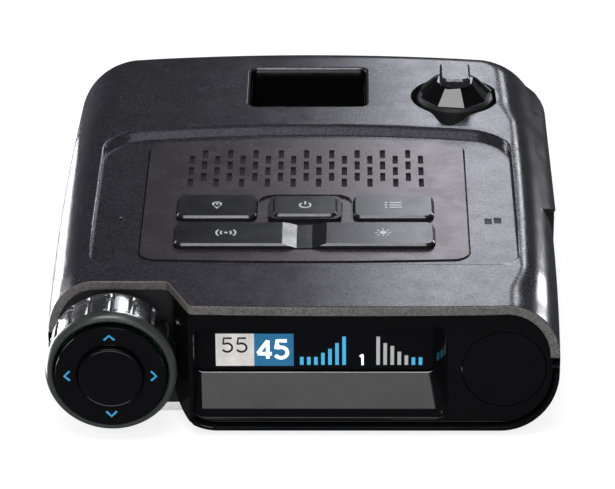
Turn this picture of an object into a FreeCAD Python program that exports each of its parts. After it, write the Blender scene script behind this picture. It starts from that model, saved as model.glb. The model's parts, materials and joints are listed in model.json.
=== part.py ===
"""Radar detector: a flat dash-top housing with a control panel, a side dial, a display and a sensor turret.

Frame: +X to the driver's right, +Y towards the windscreen, +Z up, millimetres.
The origin is under the middle of the bounding box, on the flat underside.
Lengths along Y are given from the front lip of the top cover and moved by the sheet's "front" value.
"""
import FreeCAD
import Part
import Sketcher
import math
import os
import re
from FreeCAD import Placement, Rotation, Vector

DIMENSIONS = [
    ("body_long", 136.0), ("body_wide", 111.9), ("body_tall", 32.0), ("front", -65.95),
    ("side_bulge", 1.1), ("widest_at", 60.0), ("back_sag", 3.2), ("corner_rad", 14.6),
    ("roll_top", 10.0), ("roll_under", 13.0), ("toe_long", 5.0), ("toe_tall", 1.4),
    ("wall", 2.0), ("parting", 17.0), ("gap", 0.15),
    ("sunk_deep", 1.75), ("sunk_half", 46.6), ("sunk_front", 19.3), ("sunk_back", 89.4), ("sunk_bow", 4.2),
    ("panel_half", 36.0), ("panel_front", 23.5), ("panel_back", 84.8), ("panel_top", 30.55),
    ("panel_thick", 1.5), ("key_top", 31.7), ("key_low", 28.1), ("key_flange", 0.7), ("key_fit", 0.2),
    ("side_key_in", 10.8), ("side_key_out", 28.6), ("key_front", 42.6), ("key_back", 53.8),
    ("power_half", 8.1), ("bar_front", 29.2), ("bar_back", 40.2), ("bar_pivot", 28.1), ("pin_rad", 0.8),
    ("slot_wide", 1.18), ("slot_long", 4.2), ("slot_pitch", 2.91), ("slot_row", 5.93), ("slot_first", 61.8),
    ("dial_x", -41.0), ("dial_z", 16.6), ("dial_rad", 14.1), ("band_rad", 13.65),
    ("bore_rad", 12.5), ("hub_rad", 8.0), ("run_fit", 0.05), ("setback", 11.2), ("pad_rad", 11.8),
    ("cheek_x", -18.5), ("cheek_z", 9.0), ("cheek_rad", 9.0), ("flank_wall", 1.2),
    ("pad_face", -3.3), ("mute_rad", 6.9), ("mute_face", -4.1), ("pad_pivot", 0.2),
    ("rim_set", 1.5), ("fascia_back", 4.0), ("glass_at", 7.0),
    ("view_left", -23.3), ("view_right", 31.0), ("view_low", 4.0), ("view_high", 26.0),
    ("glass_left", -22.8), ("glass_right", 28.0), ("glass_low", 12.0), ("glass_high", 25.0),
    ("eye_x", 43.0), ("eye_z", 15.9), ("eye_rad", 9.0),
    ("pocket_half", 13.4), ("pocket_front", 100.2), ("pocket_back", 120.8), ("pocket_floor", 22.0),
    ("tower_x", 34.8), ("tower_y", 105.0), ("dish_rad", 10.5), ("tower_top", 38.4), ("dish_floor", 28.4),
    ("lens_low", 32.65), ("cap_low", 36.35), ("cap_half", 3.55),
    ("camera_x", 35.0), ("camera_y", 125.8), ("camera_z", 16.5), ("camera_rad", 8.0), ("camera_half", 6.5),
    ("board_low", 5.0), ("board_top", 6.6), ("board_half", 39.5),
    ("board_front", 24.0), ("board_back", 114.0),
    ("port_x", 51.4), ("port_y", 62.5), ("port_z", 12.5), ("post_x", 46.0), ("post_rad", 3.0),
]

doc = FreeCAD.newDocument("radar_detector")
sheet = doc.addObject("Spreadsheet::Sheet", "dims")
for row, (alias, number) in enumerate(DIMENSIONS, 1):
    sheet.set(f"A{row}", alias)
    sheet.set(f"B{row}", str(number))
    sheet.setAlias(f"B{row}", alias)
doc.recompute()

SUBPARTS = {}


# ---------------------------------------------------------------- helpers

def val(alias):
    """The number that the sheet holds under this alias."""
    return float(sheet.get(alias))


def ahead(distance):
    """A place along Y, from its distance behind the front lip."""
    return val("front") + distance


def expr(text):
    """An expression in which every word is an alias of the sheet."""
    return re.sub(r"[a-z][a-z_]*", lambda word: "dims." + word.group(), str(text))


def bind(obj, **cells):
    """Bind properties to expressions; a double underscore in a name stands for a dot."""
    for name, text in cells.items():
        obj.setExpression(name.replace("__", "."), expr(text))


def keep(label, obj):
    """Name a finished sub-part."""
    obj.Label = label
    SUBPARTS[label] = obj
    return obj


def block(x_low, x_high, y_low, y_high, z_low, z_high):
    """A box between two corners, with Y from the front lip."""
    box = doc.addObject("Part::Box", "block")
    bind(box, Length=f"({x_high}) - ({x_low})", Width=f"({y_high}) - ({y_low})",
         Height=f"({z_high}) - ({z_low})")
    bind(box, Placement__Base__x=x_low, Placement__Base__y=f"front + ({y_low})", Placement__Base__z=z_low)
    return box


AXIS_TURNS = {
    "x": Rotation(Vector(0, 1, 0), 90),
    "y": Rotation(Vector(1, 0, 0), -90),
    "z": Rotation(),
}


def drum(x, y, z, radius, length, axis="z"):
    """A cylinder that starts at a point and runs along +X, +Y or +Z."""
    cylinder = doc.addObject("Part::Cylinder", "drum")
    cylinder.Placement = Placement(Vector(), AXIS_TURNS[axis])
    bind(cylinder, Radius=radius, Height=length)
    bind(cylinder, Placement__Base__x=x, Placement__Base__y=f"front + ({y})", Placement__Base__z=z)
    return cylinder


def cut(base, *tools):
    """The base with every tool taken out of it."""
    for tool in tools:
        result = doc.addObject("Part::Cut", "cut")
        result.Base = base
        result.Tool = tool
        base = result
    return base


def fuse(*items):
    """One solid from several that meet or overlap."""
    result = doc.addObject("Part::MultiFuse", "fuse")
    result.Shapes = list(items)
    result.Refine = True
    return result


def group(*items):
    """Identical pieces kept as separate solids of one node."""
    result = doc.addObject("Part::Compound", "group")
    result.Links = list(items)
    return result


def coded(shape):
    """A sub-part whose shape is worked out by this script from the sheet."""
    feature = doc.addObject("Part::Feature", "coded")
    feature.Shape = shape
    return feature


def arc(start, middle, end):
    return Part.Arc(start, middle, end).toShape()


def prism(wire, z_low, z_high):
    """A solid straight up from a closed flat wire, which may be at any height."""
    face = Part.Face(wire)
    face.translate(Vector(0, 0, z_low - wire.BoundBox.ZMin))
    return face.extrude(Vector(0, 0, z_high - z_low))


def upright_edges(solid, pick=lambda point: True):
    """The vertical edges of a solid whose place is accepted by pick."""
    found = []
    for edge in solid.Edges:
        box = edge.BoundBox
        if box.XLength < 1e-5 and box.YLength < 1e-5 and pick(edge.CenterOfMass):
            found.append(edge)
    return found


def level_edges(solid, level, pick=lambda point: True):
    """The edges that lie at one height."""
    found = []
    for edge in solid.Edges:
        box = edge.BoundBox
        if abs(box.ZMin - level) < 1e-4 and abs(box.ZMax - level) < 1e-4 and pick(edge.CenterOfMass):
            found.append(edge)
    return found


def flat_outline(solid, level):
    """The outer wire of a solid's flat face at one height."""
    for face in solid.Faces:
        if face.BoundBox.ZLength < 1e-6 and abs(face.CenterOfMass.z - level) < 1e-6:
            return face.OuterWire
    raise RuntimeError(f"no flat face at {level}")


def turned(points, axis_point):
    """A solid turned about an upright axis: points are (radius, height)."""
    corners = [Vector(radius, 0, height) for radius, height in points]
    solid = Part.Face(Part.makePolygon(corners + corners[:1])).revolve(Vector(), Vector(0, 0, 1), 360)
    solid.Placement = Placement(axis_point, Rotation())
    return solid


def bowed_outline(half, y_front, y_back, bow_front, bow_back, level):
    """A closed outline, straight at the sides and bowed outwards in front and behind."""
    front_left = Vector(-half, ahead(y_front + bow_front), level)
    front_right = Vector(half, ahead(y_front + bow_front), level)
    back_right = Vector(half, ahead(y_back - bow_back), level)
    back_left = Vector(-half, ahead(y_back - bow_back), level)
    return Part.Wire([
        arc(front_left, Vector(0, ahead(y_front), level), front_right),
        Part.makeLine(front_right, back_right),
        arc(back_right, Vector(0, ahead(y_back), level), back_left),
        Part.makeLine(back_left, front_left),
    ])


def bowed_prism(outline, z_low, z_high, front_round, back_round):
    """A bowed outline made solid, with its front and back corners rounded."""
    solid = prism(outline, z_low, z_high)
    middle = solid.CenterOfMass.y
    solid = solid.makeFillet(front_round, upright_edges(solid, lambda point: point.y < middle))
    return solid.makeFillet(back_round, upright_edges(solid, lambda point: point.y > middle))


def soft_block(x_low, x_high, y_low, y_high, z_low, z_high, rounding):
    """A plain block with rounded upright edges."""
    solid = Part.makeBox(x_high - x_low, y_high - y_low, z_high - z_low, Vector(x_low, ahead(y_low), z_low))
    return solid.makeFillet(rounding, upright_edges(solid))


# ---------------------------------------------------------------- housing

def rolled_body(inset, y_start):
    """The housing's outer form, or its hollow when inset by the wall."""
    half = val("body_wide") / 2 - inset
    bulge = val("side_bulge")
    back = val("body_long") - inset
    corner_back = back - val("back_sag") * (half / 45.0) ** 2
    z_low = inset
    z_high = val("body_tall") - inset

    def side(y):
        return half - bulge * ((y - val("widest_at")) / val("widest_at")) ** 2

    front_left = Vector(-side(y_start), ahead(y_start), z_low)
    front_right = Vector(side(y_start), ahead(y_start), z_low)
    back_right = Vector(side(corner_back), ahead(corner_back), z_low)
    back_left = Vector(-side(corner_back), ahead(corner_back), z_low)
    widest = ahead(val("widest_at"))
    outline = Part.Wire([
        Part.makeLine(front_left, front_right),
        arc(front_right, Vector(half, widest, z_low), back_right),
        arc(back_right, Vector(0, ahead(back), z_low), back_left),
        arc(back_left, Vector(-half, widest, z_low), front_left),
    ])
    solid = prism(outline, z_low, z_high)
    solid = solid.makeFillet(val("corner_rad") - inset,
                             upright_edges(solid, lambda point: point.y > widest))
    behind_front = ahead(y_start) + 0.5
    rim = level_edges(solid, z_high, lambda point: point.y > behind_front)
    solid = solid.makeFillet(val("roll_top") - inset, rim)
    rim = level_edges(solid, z_low, lambda point: point.y > behind_front)
    return solid.makeFillet(val("roll_under") - inset, rim)


def flank_plan(offset):
    """The plan of the front left notch, with its slanted flank moved to the right by an offset."""
    setback = val("setback")
    line = [(-24.2, -5), (-23.8, 0), (-28.5, setback - 1), (-29.6, setback)]
    return [(x + offset, y) for x, y in line]


def dial_notch():
    """What is taken out of the front left corner for the dial: a stepped plan with a slanted flank."""
    corners = [(-70, -5)] + flank_plan(0.0) + [(-70, val("setback"))]
    points = [Vector(x, ahead(y), -1) for x, y in corners]
    return prism(Part.makePolygon(points + points[:1]), -1, 40)


def cheek_corner(inset):
    """What is taken off to round the lower left corner beside the dial."""
    x, z, radius = val("cheek_x"), val("cheek_z"), val("cheek_rad") - inset
    length = val("setback") + 6
    corner = Part.makeBox(20, length, 20, Vector(x - 20, ahead(-5), z - 20))
    return corner.cut(Part.makeCylinder(radius, length, Vector(x, ahead(-5), z), Vector(0, 1, 0)))


def cheek_wall():
    """The bottom cover's wall that turns up beside the dial."""
    x, z, radius = val("cheek_x"), val("cheek_z"), val("cheek_rad")
    start = Vector(x, ahead(0), z)
    ring = Part.makeCylinder(radius, val("setback"), start, Vector(0, 1, 0))
    ring = ring.cut(Part.makeCylinder(radius - val("wall"), val("setback"), start, Vector(0, 1, 0)))
    return ring.common(Part.makeBox(20, 30, 20, Vector(x - 20, ahead(-1), z - 20)))


def side_pod():
    """The raised pod along the right side, from the scoop to the back corner."""
    half = val("body_wide") / 2
    inner, front, back = half - 12, 72, 129
    corners = [(inner, front), (half, front), (half, back - 5), (half - 1.2, back - 1.5),
               (half - 5, back), (inner, back)]
    points = [Vector(x, ahead(y), 6.5) for x, y in corners]
    solid = prism(Part.makePolygon(points + points[:1]), 6.5, 23.5)
    long_edges = [e for e in solid.Edges if e.BoundBox.YLength > 40 and abs(e.CenterOfMass.x - half) < 0.01]
    return solid.makeFillet(3.0, long_edges)


def scoop():
    """The wedge in front of the pod that gives the sockets their recess."""
    floor = val("port_x") + 1.5
    corners = [(60, 50), (floor, 55), (floor, 71.5), (60, 73)]
    points = [Vector(x, ahead(y), 0) for x, y in corners]
    return prism(Part.makePolygon(points + points[:1]), 7.5, 18.0)


def outer_form():
    return rolled_body(0.0, 0.0).fuse(side_pod()).removeSplitter()


def toe_section(y, rise):
    """The housing's lower section at one place, raised by the toe's rise."""
    half = val("body_wide") / 2 + 0.3
    radius = val("roll_under") + 0.3
    diagonal = radius * (1 - math.sqrt(0.5))
    top, low = val("parting") + 1.0, rise

    def at(x, z):
        return Vector(x, ahead(y), z)

    left_side, left_foot = at(-half, low + radius), at(-half + radius, low)
    right_foot, right_side = at(half - radius, low), at(half, low + radius)
    return Part.Wire([
        Part.makeLine(at(-half, top), left_side),
        arc(left_side, at(-half + diagonal, low + diagonal), left_foot),
        Part.makeLine(left_foot, right_foot),
        arc(right_foot, at(half - diagonal, low + diagonal), right_side),
        Part.makeLine(right_side, at(half, top)),
        Part.makeLine(at(half, top), at(-half, top)),
    ])


def toe_cut():
    """What is taken off the underside's front edge so that it rises towards the driver."""
    long, tall = val("toe_long"), val("toe_tall")
    kept = Part.makeLoft([toe_section(0.0, tall), toe_section(long, 0.0)], True, True)
    front = Part.makeBox(160, long, 20, Vector(-80, ahead(0), -2))
    return front.common(half_space(-2, val("roll_under") + tall)).cut(kept)


def shell():
    """The whole housing wall before it is parted, open in front."""
    return outer_form().cut(rolled_body(val("wall"), -1.0))


def sunk_area():
    """The shallow sunken field around the control panel, with a sloping back."""
    top = val("body_tall")
    floor = top - val("sunk_deep")
    half, front, back, bow = val("sunk_half"), val("sunk_front"), val("sunk_back"), val("sunk_bow")
    upper = bowed_prism(bowed_outline(half, front, back, 0.4, bow, top), top, top + 1, 5.0, 8.0)
    lower = bowed_prism(bowed_outline(half - 0.35, front + 0.35, back - 2.6, 0.4, bow, floor),
                        floor, floor + 1, 5.0, 8.0)
    wires = [flat_outline(lower, floor), flat_outline(upper, top)]
    return Part.makeLoft(wires, True, False).fuse(upper)


def panel_form(grow, z_low, z_high):
    """The control panel's outline, grown by a margin."""
    outline = bowed_outline(val("panel_half") + grow, val("panel_front") - grow, val("panel_back") + grow,
                            1.0, 2.7, z_low)
    return bowed_prism(outline, z_low, z_high, 3.4 + grow, 3.4 + grow)


def dish_form(shrink, z_low, z_high):
    """The turret's dish: a round with a lobe towards the driver."""
    centre = Vector(val("tower_x"), ahead(val("tower_y")), z_low)
    tall = z_high - z_low
    round_part = Part.makeCylinder(val("dish_rad") - shrink, tall, centre)
    lobe_at = Vector(val("tower_x") - 1.6, ahead(93.6), z_low)
    lobe = Part.makeCylinder(4.7 - shrink, tall, lobe_at)
    return round_part.fuse(lobe)


def half_space(z_low, z_high):
    return Part.makeBox(160, 200, z_high - z_low, Vector(-80, ahead(-20), z_low))


def pillar(x, y, z_low, z_high, radius):
    """A round screw pillar, before its hole."""
    return Part.makeCylinder(radius, z_high - z_low, Vector(x, ahead(y), z_low))


def post_places():
    """The four cover screws."""
    return [(side * val("post_x"), y) for side in (-1, 1) for y in (26.0, 92.0)]


def standoff_places():
    """The four main board screws."""
    return [(side * 36.0, y) for side in (-1, 1) for y in (30.0, 108.0)]


def window_cutout(grow):
    """The wide sensor window's opening in the windscreen side."""
    return Part.makeBox(50 + 2 * grow, 12, 15 + 2 * grow, Vector(-29 - grow, ahead(129), 9 - grow))


def camera_cutout():
    half = val("camera_half") + 0.4
    return Part.makeBox(2 * half, 14, 17.6, Vector(val("camera_x") - half, ahead(126), val("camera_z") - 8.8))


def make_top_cover():
    top, wall = val("body_tall"), val("wall")
    cover = shell().common(half_space(val("parting"), top + 1))
    under = Part.makeBox(2 * val("sunk_half") + 4, 76, wall, Vector(-val("sunk_half") - 2, ahead(16.3),
                                                                   top - wall - val("sunk_deep")))
    pillow = under.common(rolled_body(0.8, 0.0))
    dish_wall = dish_form(-1.4, 27.4, top - wall + 0.5)
    cover = cover.fuse(pillow).fuse(dish_wall)
    for x, y in post_places():
        post_top = top - wall - val("sunk_deep") + 0.5
        cover = cover.fuse(pillar(x, y, val("board_low"), post_top, val("post_rad")))
    cuts = [sunk_area(), panel_form(val("gap"), 20, 40), dial_notch(), scoop()]
    cuts += [window_cutout(0.0), camera_cutout()]
    cuts.append(dish_form(0.0, val("dish_floor"), 40))
    cuts.append(Part.makeCylinder(7.2, 8, Vector(val("tower_x"), ahead(val("tower_y")), 25)))
    cuts.append(pocket_mouth())
    cuts.append(Part.makeCylinder(1.0, 8, Vector(-41.1, ahead(44.2), 25)))
    for x, y in sensor_places():
        cuts.append(Part.makeBox(1.45, 2.75, 8, Vector(x - 0.725, ahead(y) - 1.375, 25)))
    for x, y in post_places():
        cuts.append(Part.makeCylinder(1.2, 14, Vector(x, ahead(y), 0)))
    for tool in cuts:
        cover = cover.cut(tool)
    return cover.removeSplitter()


def pocket_mouth():
    """The mount pocket's opening, with a chamfered rim."""
    half, y0, y1, top = val("pocket_half"), val("pocket_front"), val("pocket_back"), val("body_tall")
    opening = soft_block(-half, half, y0, y1, 20, top + 1, 1.2)
    lower = soft_block(-half, half, y0, y1, top - 0.8, top + 1, 1.2)
    upper = soft_block(-half - 0.9, half + 0.9, y0 - 0.9, y1 + 0.9, top + 0.1, top + 1, 2.1)
    wires = [flat_outline(lower, top - 0.8), flat_outline(upper, top + 0.1)]
    return opening.fuse(Part.makeLoft(wires, True, True))


def sensor_places():
    """The two small light-sensor windows."""
    return [(40.7, 43.0), (42.8, 43.4)]


def make_bottom_cover():
    cover = shell().common(half_space(-1, val("parting")))
    for x, y in post_places():
        cover = cover.fuse(pillar(x, y, 1, val("board_low"), 3.4).common(rolled_body(0.5, 0)))
    for x, y in standoff_places():
        cover = cover.fuse(pillar(x, y, 1, val("board_low"), 2.6))
    cover = cover.cut(cheek_corner(0.0)).fuse(cheek_wall()).cut(toe_cut())
    cuts = [dial_notch(), scoop(), window_cutout(0.0), camera_cutout()]
    for x, y in post_places():
        cuts.append(Part.makeCylinder(1.45, 8, Vector(x, ahead(y), -1)))
        cuts.append(Part.makeCylinder(2.8, 3.2, Vector(x, ahead(y), -1)))
    for x, y in standoff_places():
        cuts.append(Part.makeCylinder(1.0, 3.2, Vector(x, ahead(y), 2)))
    cuts.append(soft_block(-24, 24, 50, 84, -1, 0.3, 2))
    for tool in cuts:
        cover = cover.cut(tool)
    return cover.removeSplitter()


# ---------------------------------------------------------------- front

def front_section(inset, y_low, y_high):
    """A slice of the housing's front outline, inset by a margin."""
    slab = Part.makeBox(160, y_high - y_low, 60, Vector(-80, ahead(y_low), -10))
    return rolled_body(inset, -2.0).common(slab)


def dial_round(radius, y_low, y_high):
    """A cylinder about the dial's axis."""
    start = Vector(val("dial_x"), ahead(y_low), val("dial_z"))
    return Part.makeCylinder(radius, y_high - y_low, start, Vector(0, 1, 0))


def display_funnel():
    """The display recess: a sloping shelf below, a slanted wall at the right and the glass behind."""
    def ring(left, right, low, high, y, rounding):
        solid = Part.makeBox(right - left, 1, high - low, Vector(left, ahead(y), low))
        corner = [e for e in solid.Edges if e.BoundBox.YLength > 0.9]
        solid = solid.makeFillet(rounding, corner)
        face = [f for f in solid.Faces if abs(f.CenterOfMass.y - ahead(y)) < 1e-6][0]
        return face.OuterWire
    front = ring(val("view_left"), val("view_right"), val("view_low"), val("view_high"),
                 val("rim_set") - 0.1, 2.5)
    back = ring(val("glass_left"), val("glass_right"), val("glass_low"), val("glass_high"),
                val("glass_at"), 1.2)
    return Part.makeLoft([front, back], True, True)


def make_front_fascia():
    """The gloss front plate, with a wall that runs back beside the dial."""
    inset = val("wall") + val("gap")
    wall_end = val("setback") - 0.2
    form = front_section(inset, val("rim_set"), wall_end).cut(cheek_corner(inset))
    beside = val("dial_x") + val("dial_rad") + 0.3
    notch = [(-70, -5), (beside + 2.4, -5), (beside + 2.8, 0), (beside, 6.5),
             (beside, wall_end), (-70, wall_end)]
    wall = val("flank_wall")
    inside = [(beside + wall + 2.8, 0), (beside + wall, 6.5), (beside + wall, wall_end),
              (70, wall_end), (70, 0)]
    prisms = []
    for corners in (notch, inside):
        points = [Vector(x, ahead(y), 0) for x, y in corners]
        prisms.append(prism(Part.makePolygon(points + points[:1]), -5, 40))
    behind_plate = Part.makeBox(160, 20, 60, Vector(-80, ahead(val("fascia_back")), -10))
    plate = form.cut(prisms[0]).cut(prisms[1].common(behind_plate))
    eye_centre = Vector(val("eye_x"), ahead(0), val("eye_z"))
    eye = Part.makeCylinder(val("eye_rad") + 0.1, 10, eye_centre, Vector(0, 1, 0))
    return plate.cut(display_funnel()).cut(eye).removeSplitter()


def make_display_shroud():
    left = val("view_left") - 0.7
    plate = Part.makeBox(31.8 - left, 4.9, 23.6, Vector(left, ahead(val("fascia_back")), 3.0))
    plate = plate.cut(display_funnel()).cut(cheek_corner(val("wall") + 2 * val("gap")))
    glass_hole = Part.makeBox(val("glass_right") - val("glass_left"), 3, val("glass_high") - val("glass_low"),
                              Vector(val("glass_left"), ahead(val("glass_at")), val("glass_low")))
    return plate.cut(glass_hole)


def make_rear_sensor_window():
    face = ahead(val("rim_set"))
    disc = Part.makeCylinder(val("eye_rad"), 2.4, Vector(val("eye_x"), face, val("eye_z")), Vector(0, 1, 0))
    ball_rad = 34.0
    ball = Part.makeSphere(ball_rad, Vector(val("eye_x"), face - ball_rad + 1.1, val("eye_z")))
    return disc.cut(ball)


def make_front():
    keep("front_fascia", coded(make_front_fascia()))
    keep("display_shroud", coded(make_display_shroud()))
    keep("display_window", block("glass_left + 0.1", "glass_right - 0.1", "glass_at", "glass_at + 1",
                                 "glass_low + 0.1", "glass_high - 0.1"))
    keep("display_screen", block(-20.5, 27.9, "glass_at + 1.05", "glass_at + 2.6", 12.4, 22.4))
    keep("rear_sensor_window", coded(make_rear_sensor_window()))
    tube = drum("eye_x", 5.0, "eye_z", 4.0, 6.0, "y")
    plate = block("eye_x - 5", "eye_x + 5", 10.5, 12.5, "eye_z - 5", "eye_z + 5")
    keep("rear_laser_sensor", fuse(tube, plate))


# ---------------------------------------------------------------- control panel

def key_hole(x_low, x_high, y_low, y_high, rounding):
    fit = val("key_fit")
    return soft_block(x_low - fit, x_high + fit, y_low - fit, y_high + fit, 26, 34, rounding)


def key_rows():
    """The low and high X of the three keys in the back row."""
    inner, outer, power = val("side_key_in"), val("side_key_out"), val("power_half")
    return [(-outer, -inner), (-power, power), (inner, outer)]


def make_control_panel():
    low, top = 26.75, val("panel_top")
    inside = val("body_tall") - val("wall") - val("sunk_deep")
    plate = panel_form(0.0, low, top).fuse(panel_form(2.0, low, inside - 0.02))
    plate = plate.cut(panel_form(-2.0, low - 1, top - val("panel_thick")))
    moat = soft_block(-10.4, 10.4, val("key_front") - 2.0, val("key_back") + 2.0, top - 0.5, top + 1, 3.5)
    plate = plate.cut(moat)
    ears = []
    for y_low, y_high in ((27.6, 28.85), (40.55, 41.8)):
        corner = Vector(-2.5, ahead(y_low), 27.0)
        ears.append(Part.makeBox(5, y_high - y_low, top - val("panel_thick") - 27.0, corner))
    pivot_start = Vector(0, ahead(20), val("bar_pivot"))
    pivot = Part.makeCylinder(val("pin_rad") + val("run_fit"), 30, pivot_start, Vector(0, 1, 0))
    for ear in ears:
        plate = plate.fuse(ear.cut(pivot))
    for x_low, x_high in key_rows():
        plate = plate.cut(key_hole(x_low, x_high, val("key_front"), val("key_back"), 2.0))
    bar = val("side_key_out")
    plate = plate.cut(key_hole(-bar, bar, val("bar_front"), val("bar_back"), 2.0))
    return plate.cut(Part.makeCompound(speaker_slots())).removeSplitter()


def speaker_slots():
    """Nineteen columns of three slots, every second column set half a row back."""
    slots = []
    wide, long = val("slot_wide"), val("slot_long")
    for column in range(19):
        x = (column - 9) * val("slot_pitch")
        offset = val("slot_row") / 2 if column % 2 else 0.0
        for row in range(3):
            y = val("slot_first") + row * val("slot_row") + offset
            slots.append(Part.makeBox(wide, long, 6, Vector(x - wide / 2, ahead(y) - long / 2, 27)))
    return slots


def key_cap(x_low, x_high, y_low, y_high, step):
    """A key: a chamfered cap, narrower above by the step, on a flange that stops under the panel."""
    top, low = val("key_top"), val("key_low")
    body = soft_block(x_low, x_high, y_low, y_high, low, top - step * 0.6, 2.0)
    if step:
        crown = soft_block(x_low + step, x_high - step, y_low + step, y_high - step, low, top, 1.6)
        body = body.fuse(crown)
    body = body.makeChamfer(0.45, level_edges(body, top))
    flange_top = val("panel_top") - val("panel_thick") - 0.15
    edge = val("key_flange")
    flange = soft_block(x_low - edge, x_high + edge, y_low - edge, y_high + edge, low, flange_top, 2.0)
    return body.fuse(flange).removeSplitter()


def make_rocker_bar():
    """The wide two-way bar, with a valley across its middle and a pivot pin at each long side."""
    half = val("side_key_out")
    y_low, y_high, top = val("bar_front"), val("bar_back"), val("key_top")
    bar = soft_block(-half, half, y_low, y_high, val("key_low"), top, 2.0)
    bar = bar.makeChamfer(0.45, level_edges(bar, top))
    valley_line = ((-5.2, 0.1), (-1.7, -0.95), (1.7, -0.95), (5.2, 0.1))
    profile = [Vector(x, ahead(y_low - 1), top + z) for x, z in valley_line]
    valley = Part.Face(Part.makePolygon(profile + profile[:1])).extrude(Vector(0, y_high - y_low + 2, 0))
    pin_start = Vector(0, ahead(y_low - 1.1), val("bar_pivot"))
    pin = Part.makeCylinder(val("pin_rad"), y_high - y_low + 2.2, pin_start, Vector(0, 1, 0))
    belly_corner = Vector(-half, ahead(y_low + 2), val("key_low") - 1.5)
    belly = Part.makeBox(2 * half, y_high - y_low - 4, 1.5, belly_corner)
    return bar.cut(valley).fuse(pin.cut(belly)).removeSplitter()


def dome_places():
    """The contacts: one under each key and one under each end of the bar."""
    row = (val("key_front") + val("key_back")) / 2
    bar_row = (val("bar_front") + val("bar_back")) / 2
    return [(-19.7, row), (0.0, row), (19.7, row), (-20.0, bar_row), (20.0, bar_row)]


def make_keypad_membrane():
    sheet_body = Part.makeBox(62, 28.6, 0.7, Vector(-31, ahead(27.2), 26.0))
    for x, y in dome_places():
        sheet_body = sheet_body.fuse(Part.makeCylinder(3.0, 1.3, Vector(x, ahead(y), 26.0)))
        sheet_body = sheet_body.cut(Part.makeCylinder(2.5, 0.9, Vector(x, ahead(y), 25.9)))
    return sheet_body


def make_keys():
    keep("control_panel", coded(make_control_panel()))
    names = ("marker_button", "power_button", "program_button")
    for name, (x_low, x_high), step in zip(names, key_rows(), (0.0, 0.9, 0.0)):
        keep(name, coded(key_cap(x_low, x_high, val("key_front"), val("key_back"), step)))
    keep("rocker_bar", coded(make_rocker_bar()))
    keep("keypad_membrane", coded(make_keypad_membrane()))
    keep("keypad_board", block(-31, 31, 27.2, 55.8, 24.8, 26.0))
    domes = [drum(x, y, 26.0, 2.2, 0.4) for x, y in dome_places()]
    keep("keypad_domes", group(*domes))


# ---------------------------------------------------------------- speaker

def make_speaker():
    y = (val("slot_first") + val("slot_row") * 1.25)
    centre = Vector(0, ahead(y), 0)
    keep("speaker_gasket", cut(drum(0, y, 28.05, 12.5, 1.0), drum(0, y, 28.0, 10.8, 2.0)))
    basket = turned([(12.5, 28.05), (12.5, 27.2), (10.6, 27.2), (6.6, 22.6), (3.0, 22.6), (3.0, 23.4),
                     (6.2, 23.4), (10.2, 28.05)], centre)
    keep("speaker_basket", coded(basket))
    cone = turned([(9.9, 28.0), (9.7, 27.6), (3.6, 24.4), (0.0, 25.2), (0.0, 25.5),
                   (3.6, 24.8), (9.5, 28.0)], centre)
    keep("speaker_cone", coded(cone))
    keep("speaker_magnet", pad_disc(6.5, 4.0, 0, y, 18.6))


# ---------------------------------------------------------------- bodies made by sketch and pad

def origin_plane(body, role):
    return [item for item in body.Origin.OriginFeatures if item.Role == role][0]


def sketch_on(body, role):
    sketch = body.newObject("Sketcher::SketchObject", "profile")
    sketch.AttachmentSupport = [(origin_plane(body, role), "")]
    sketch.MapMode = "FlatFace"
    return sketch


def add_circle(sketch, radius):
    index = sketch.addGeometry(Part.Circle(Vector(), Vector(0, 0, 1), 1.0), False)
    sketch.addConstraint(Sketcher.Constraint("Coincident", index, 3, -1, 1))
    name = f"radius_{index}"
    limit = sketch.addConstraint(Sketcher.Constraint("Radius", index, 1.0))
    sketch.renameConstraint(limit, name)
    sketch.setExpression(f"Constraints.{name}", expr(radius))


def place_body(body, x, y, z, axis):
    body.Placement = Placement(Vector(), AXIS_TURNS[axis])
    bind(body, Placement__Base__x=x, Placement__Base__y=f"front + ({y})", Placement__Base__z=z)


def pad_disc(radius, length, x, y, z, axis="z", bore=None):
    """A disc or ring, padded from a sketch of one or two circles."""
    body = doc.addObject("PartDesign::Body", "disc")
    sketch = sketch_on(body, "XY_Plane")
    add_circle(sketch, radius)
    if bore is not None:
        add_circle(sketch, bore)
    pad = body.newObject("PartDesign::Pad", "pad")
    pad.Profile = sketch
    pad.setExpression("Length", expr(length))
    body.Tip = pad
    place_body(body, x, y, z, axis)
    return body


def pad_plate(x_size, y_size, thick, x, y, z, round_corner):
    """A plate centred on a point, with rounded corners."""
    body = doc.addObject("PartDesign::Body", "plate")
    sketch = sketch_on(body, "XY_Plane")
    corners = [Vector(-1, -1, 0), Vector(1, -1, 0), Vector(1, 1, 0), Vector(-1, 1, 0)]
    for index in range(4):
        sketch.addGeometry(Part.LineSegment(corners[index], corners[(index + 1) % 4]), False)
    for index in range(4):
        sketch.addConstraint(Sketcher.Constraint("Coincident", index, 2, (index + 1) % 4, 1))
    for index, kind in enumerate(("Horizontal", "Vertical", "Horizontal", "Vertical")):
        sketch.addConstraint(Sketcher.Constraint(kind, index))
    sketch.addConstraint(Sketcher.Constraint("Symmetric", 0, 1, 2, 1, -1, 1))
    for name, line, size in (("size_x", 0, x_size), ("size_y", 1, y_size)):
        limit = sketch.addConstraint(Sketcher.Constraint("Distance", line, 2.0))
        sketch.renameConstraint(limit, name)
        sketch.setExpression(f"Constraints.{name}", expr(size))
    pad = body.newObject("PartDesign::Pad", "pad")
    pad.Profile = sketch
    pad.setExpression("Length", expr(thick))
    doc.recompute()
    rounding = body.newObject("PartDesign::Fillet", "rounding")
    names = [f"Edge{i + 1}" for i, edge in enumerate(pad.Shape.Edges)
             if edge.BoundBox.XLength < 1e-5 and edge.BoundBox.YLength < 1e-5]
    rounding.Base = (pad, names)
    rounding.Radius = round_corner
    body.Tip = rounding
    place_body(body, x, y, z, "z")
    return body


# ---------------------------------------------------------------- dial

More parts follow.
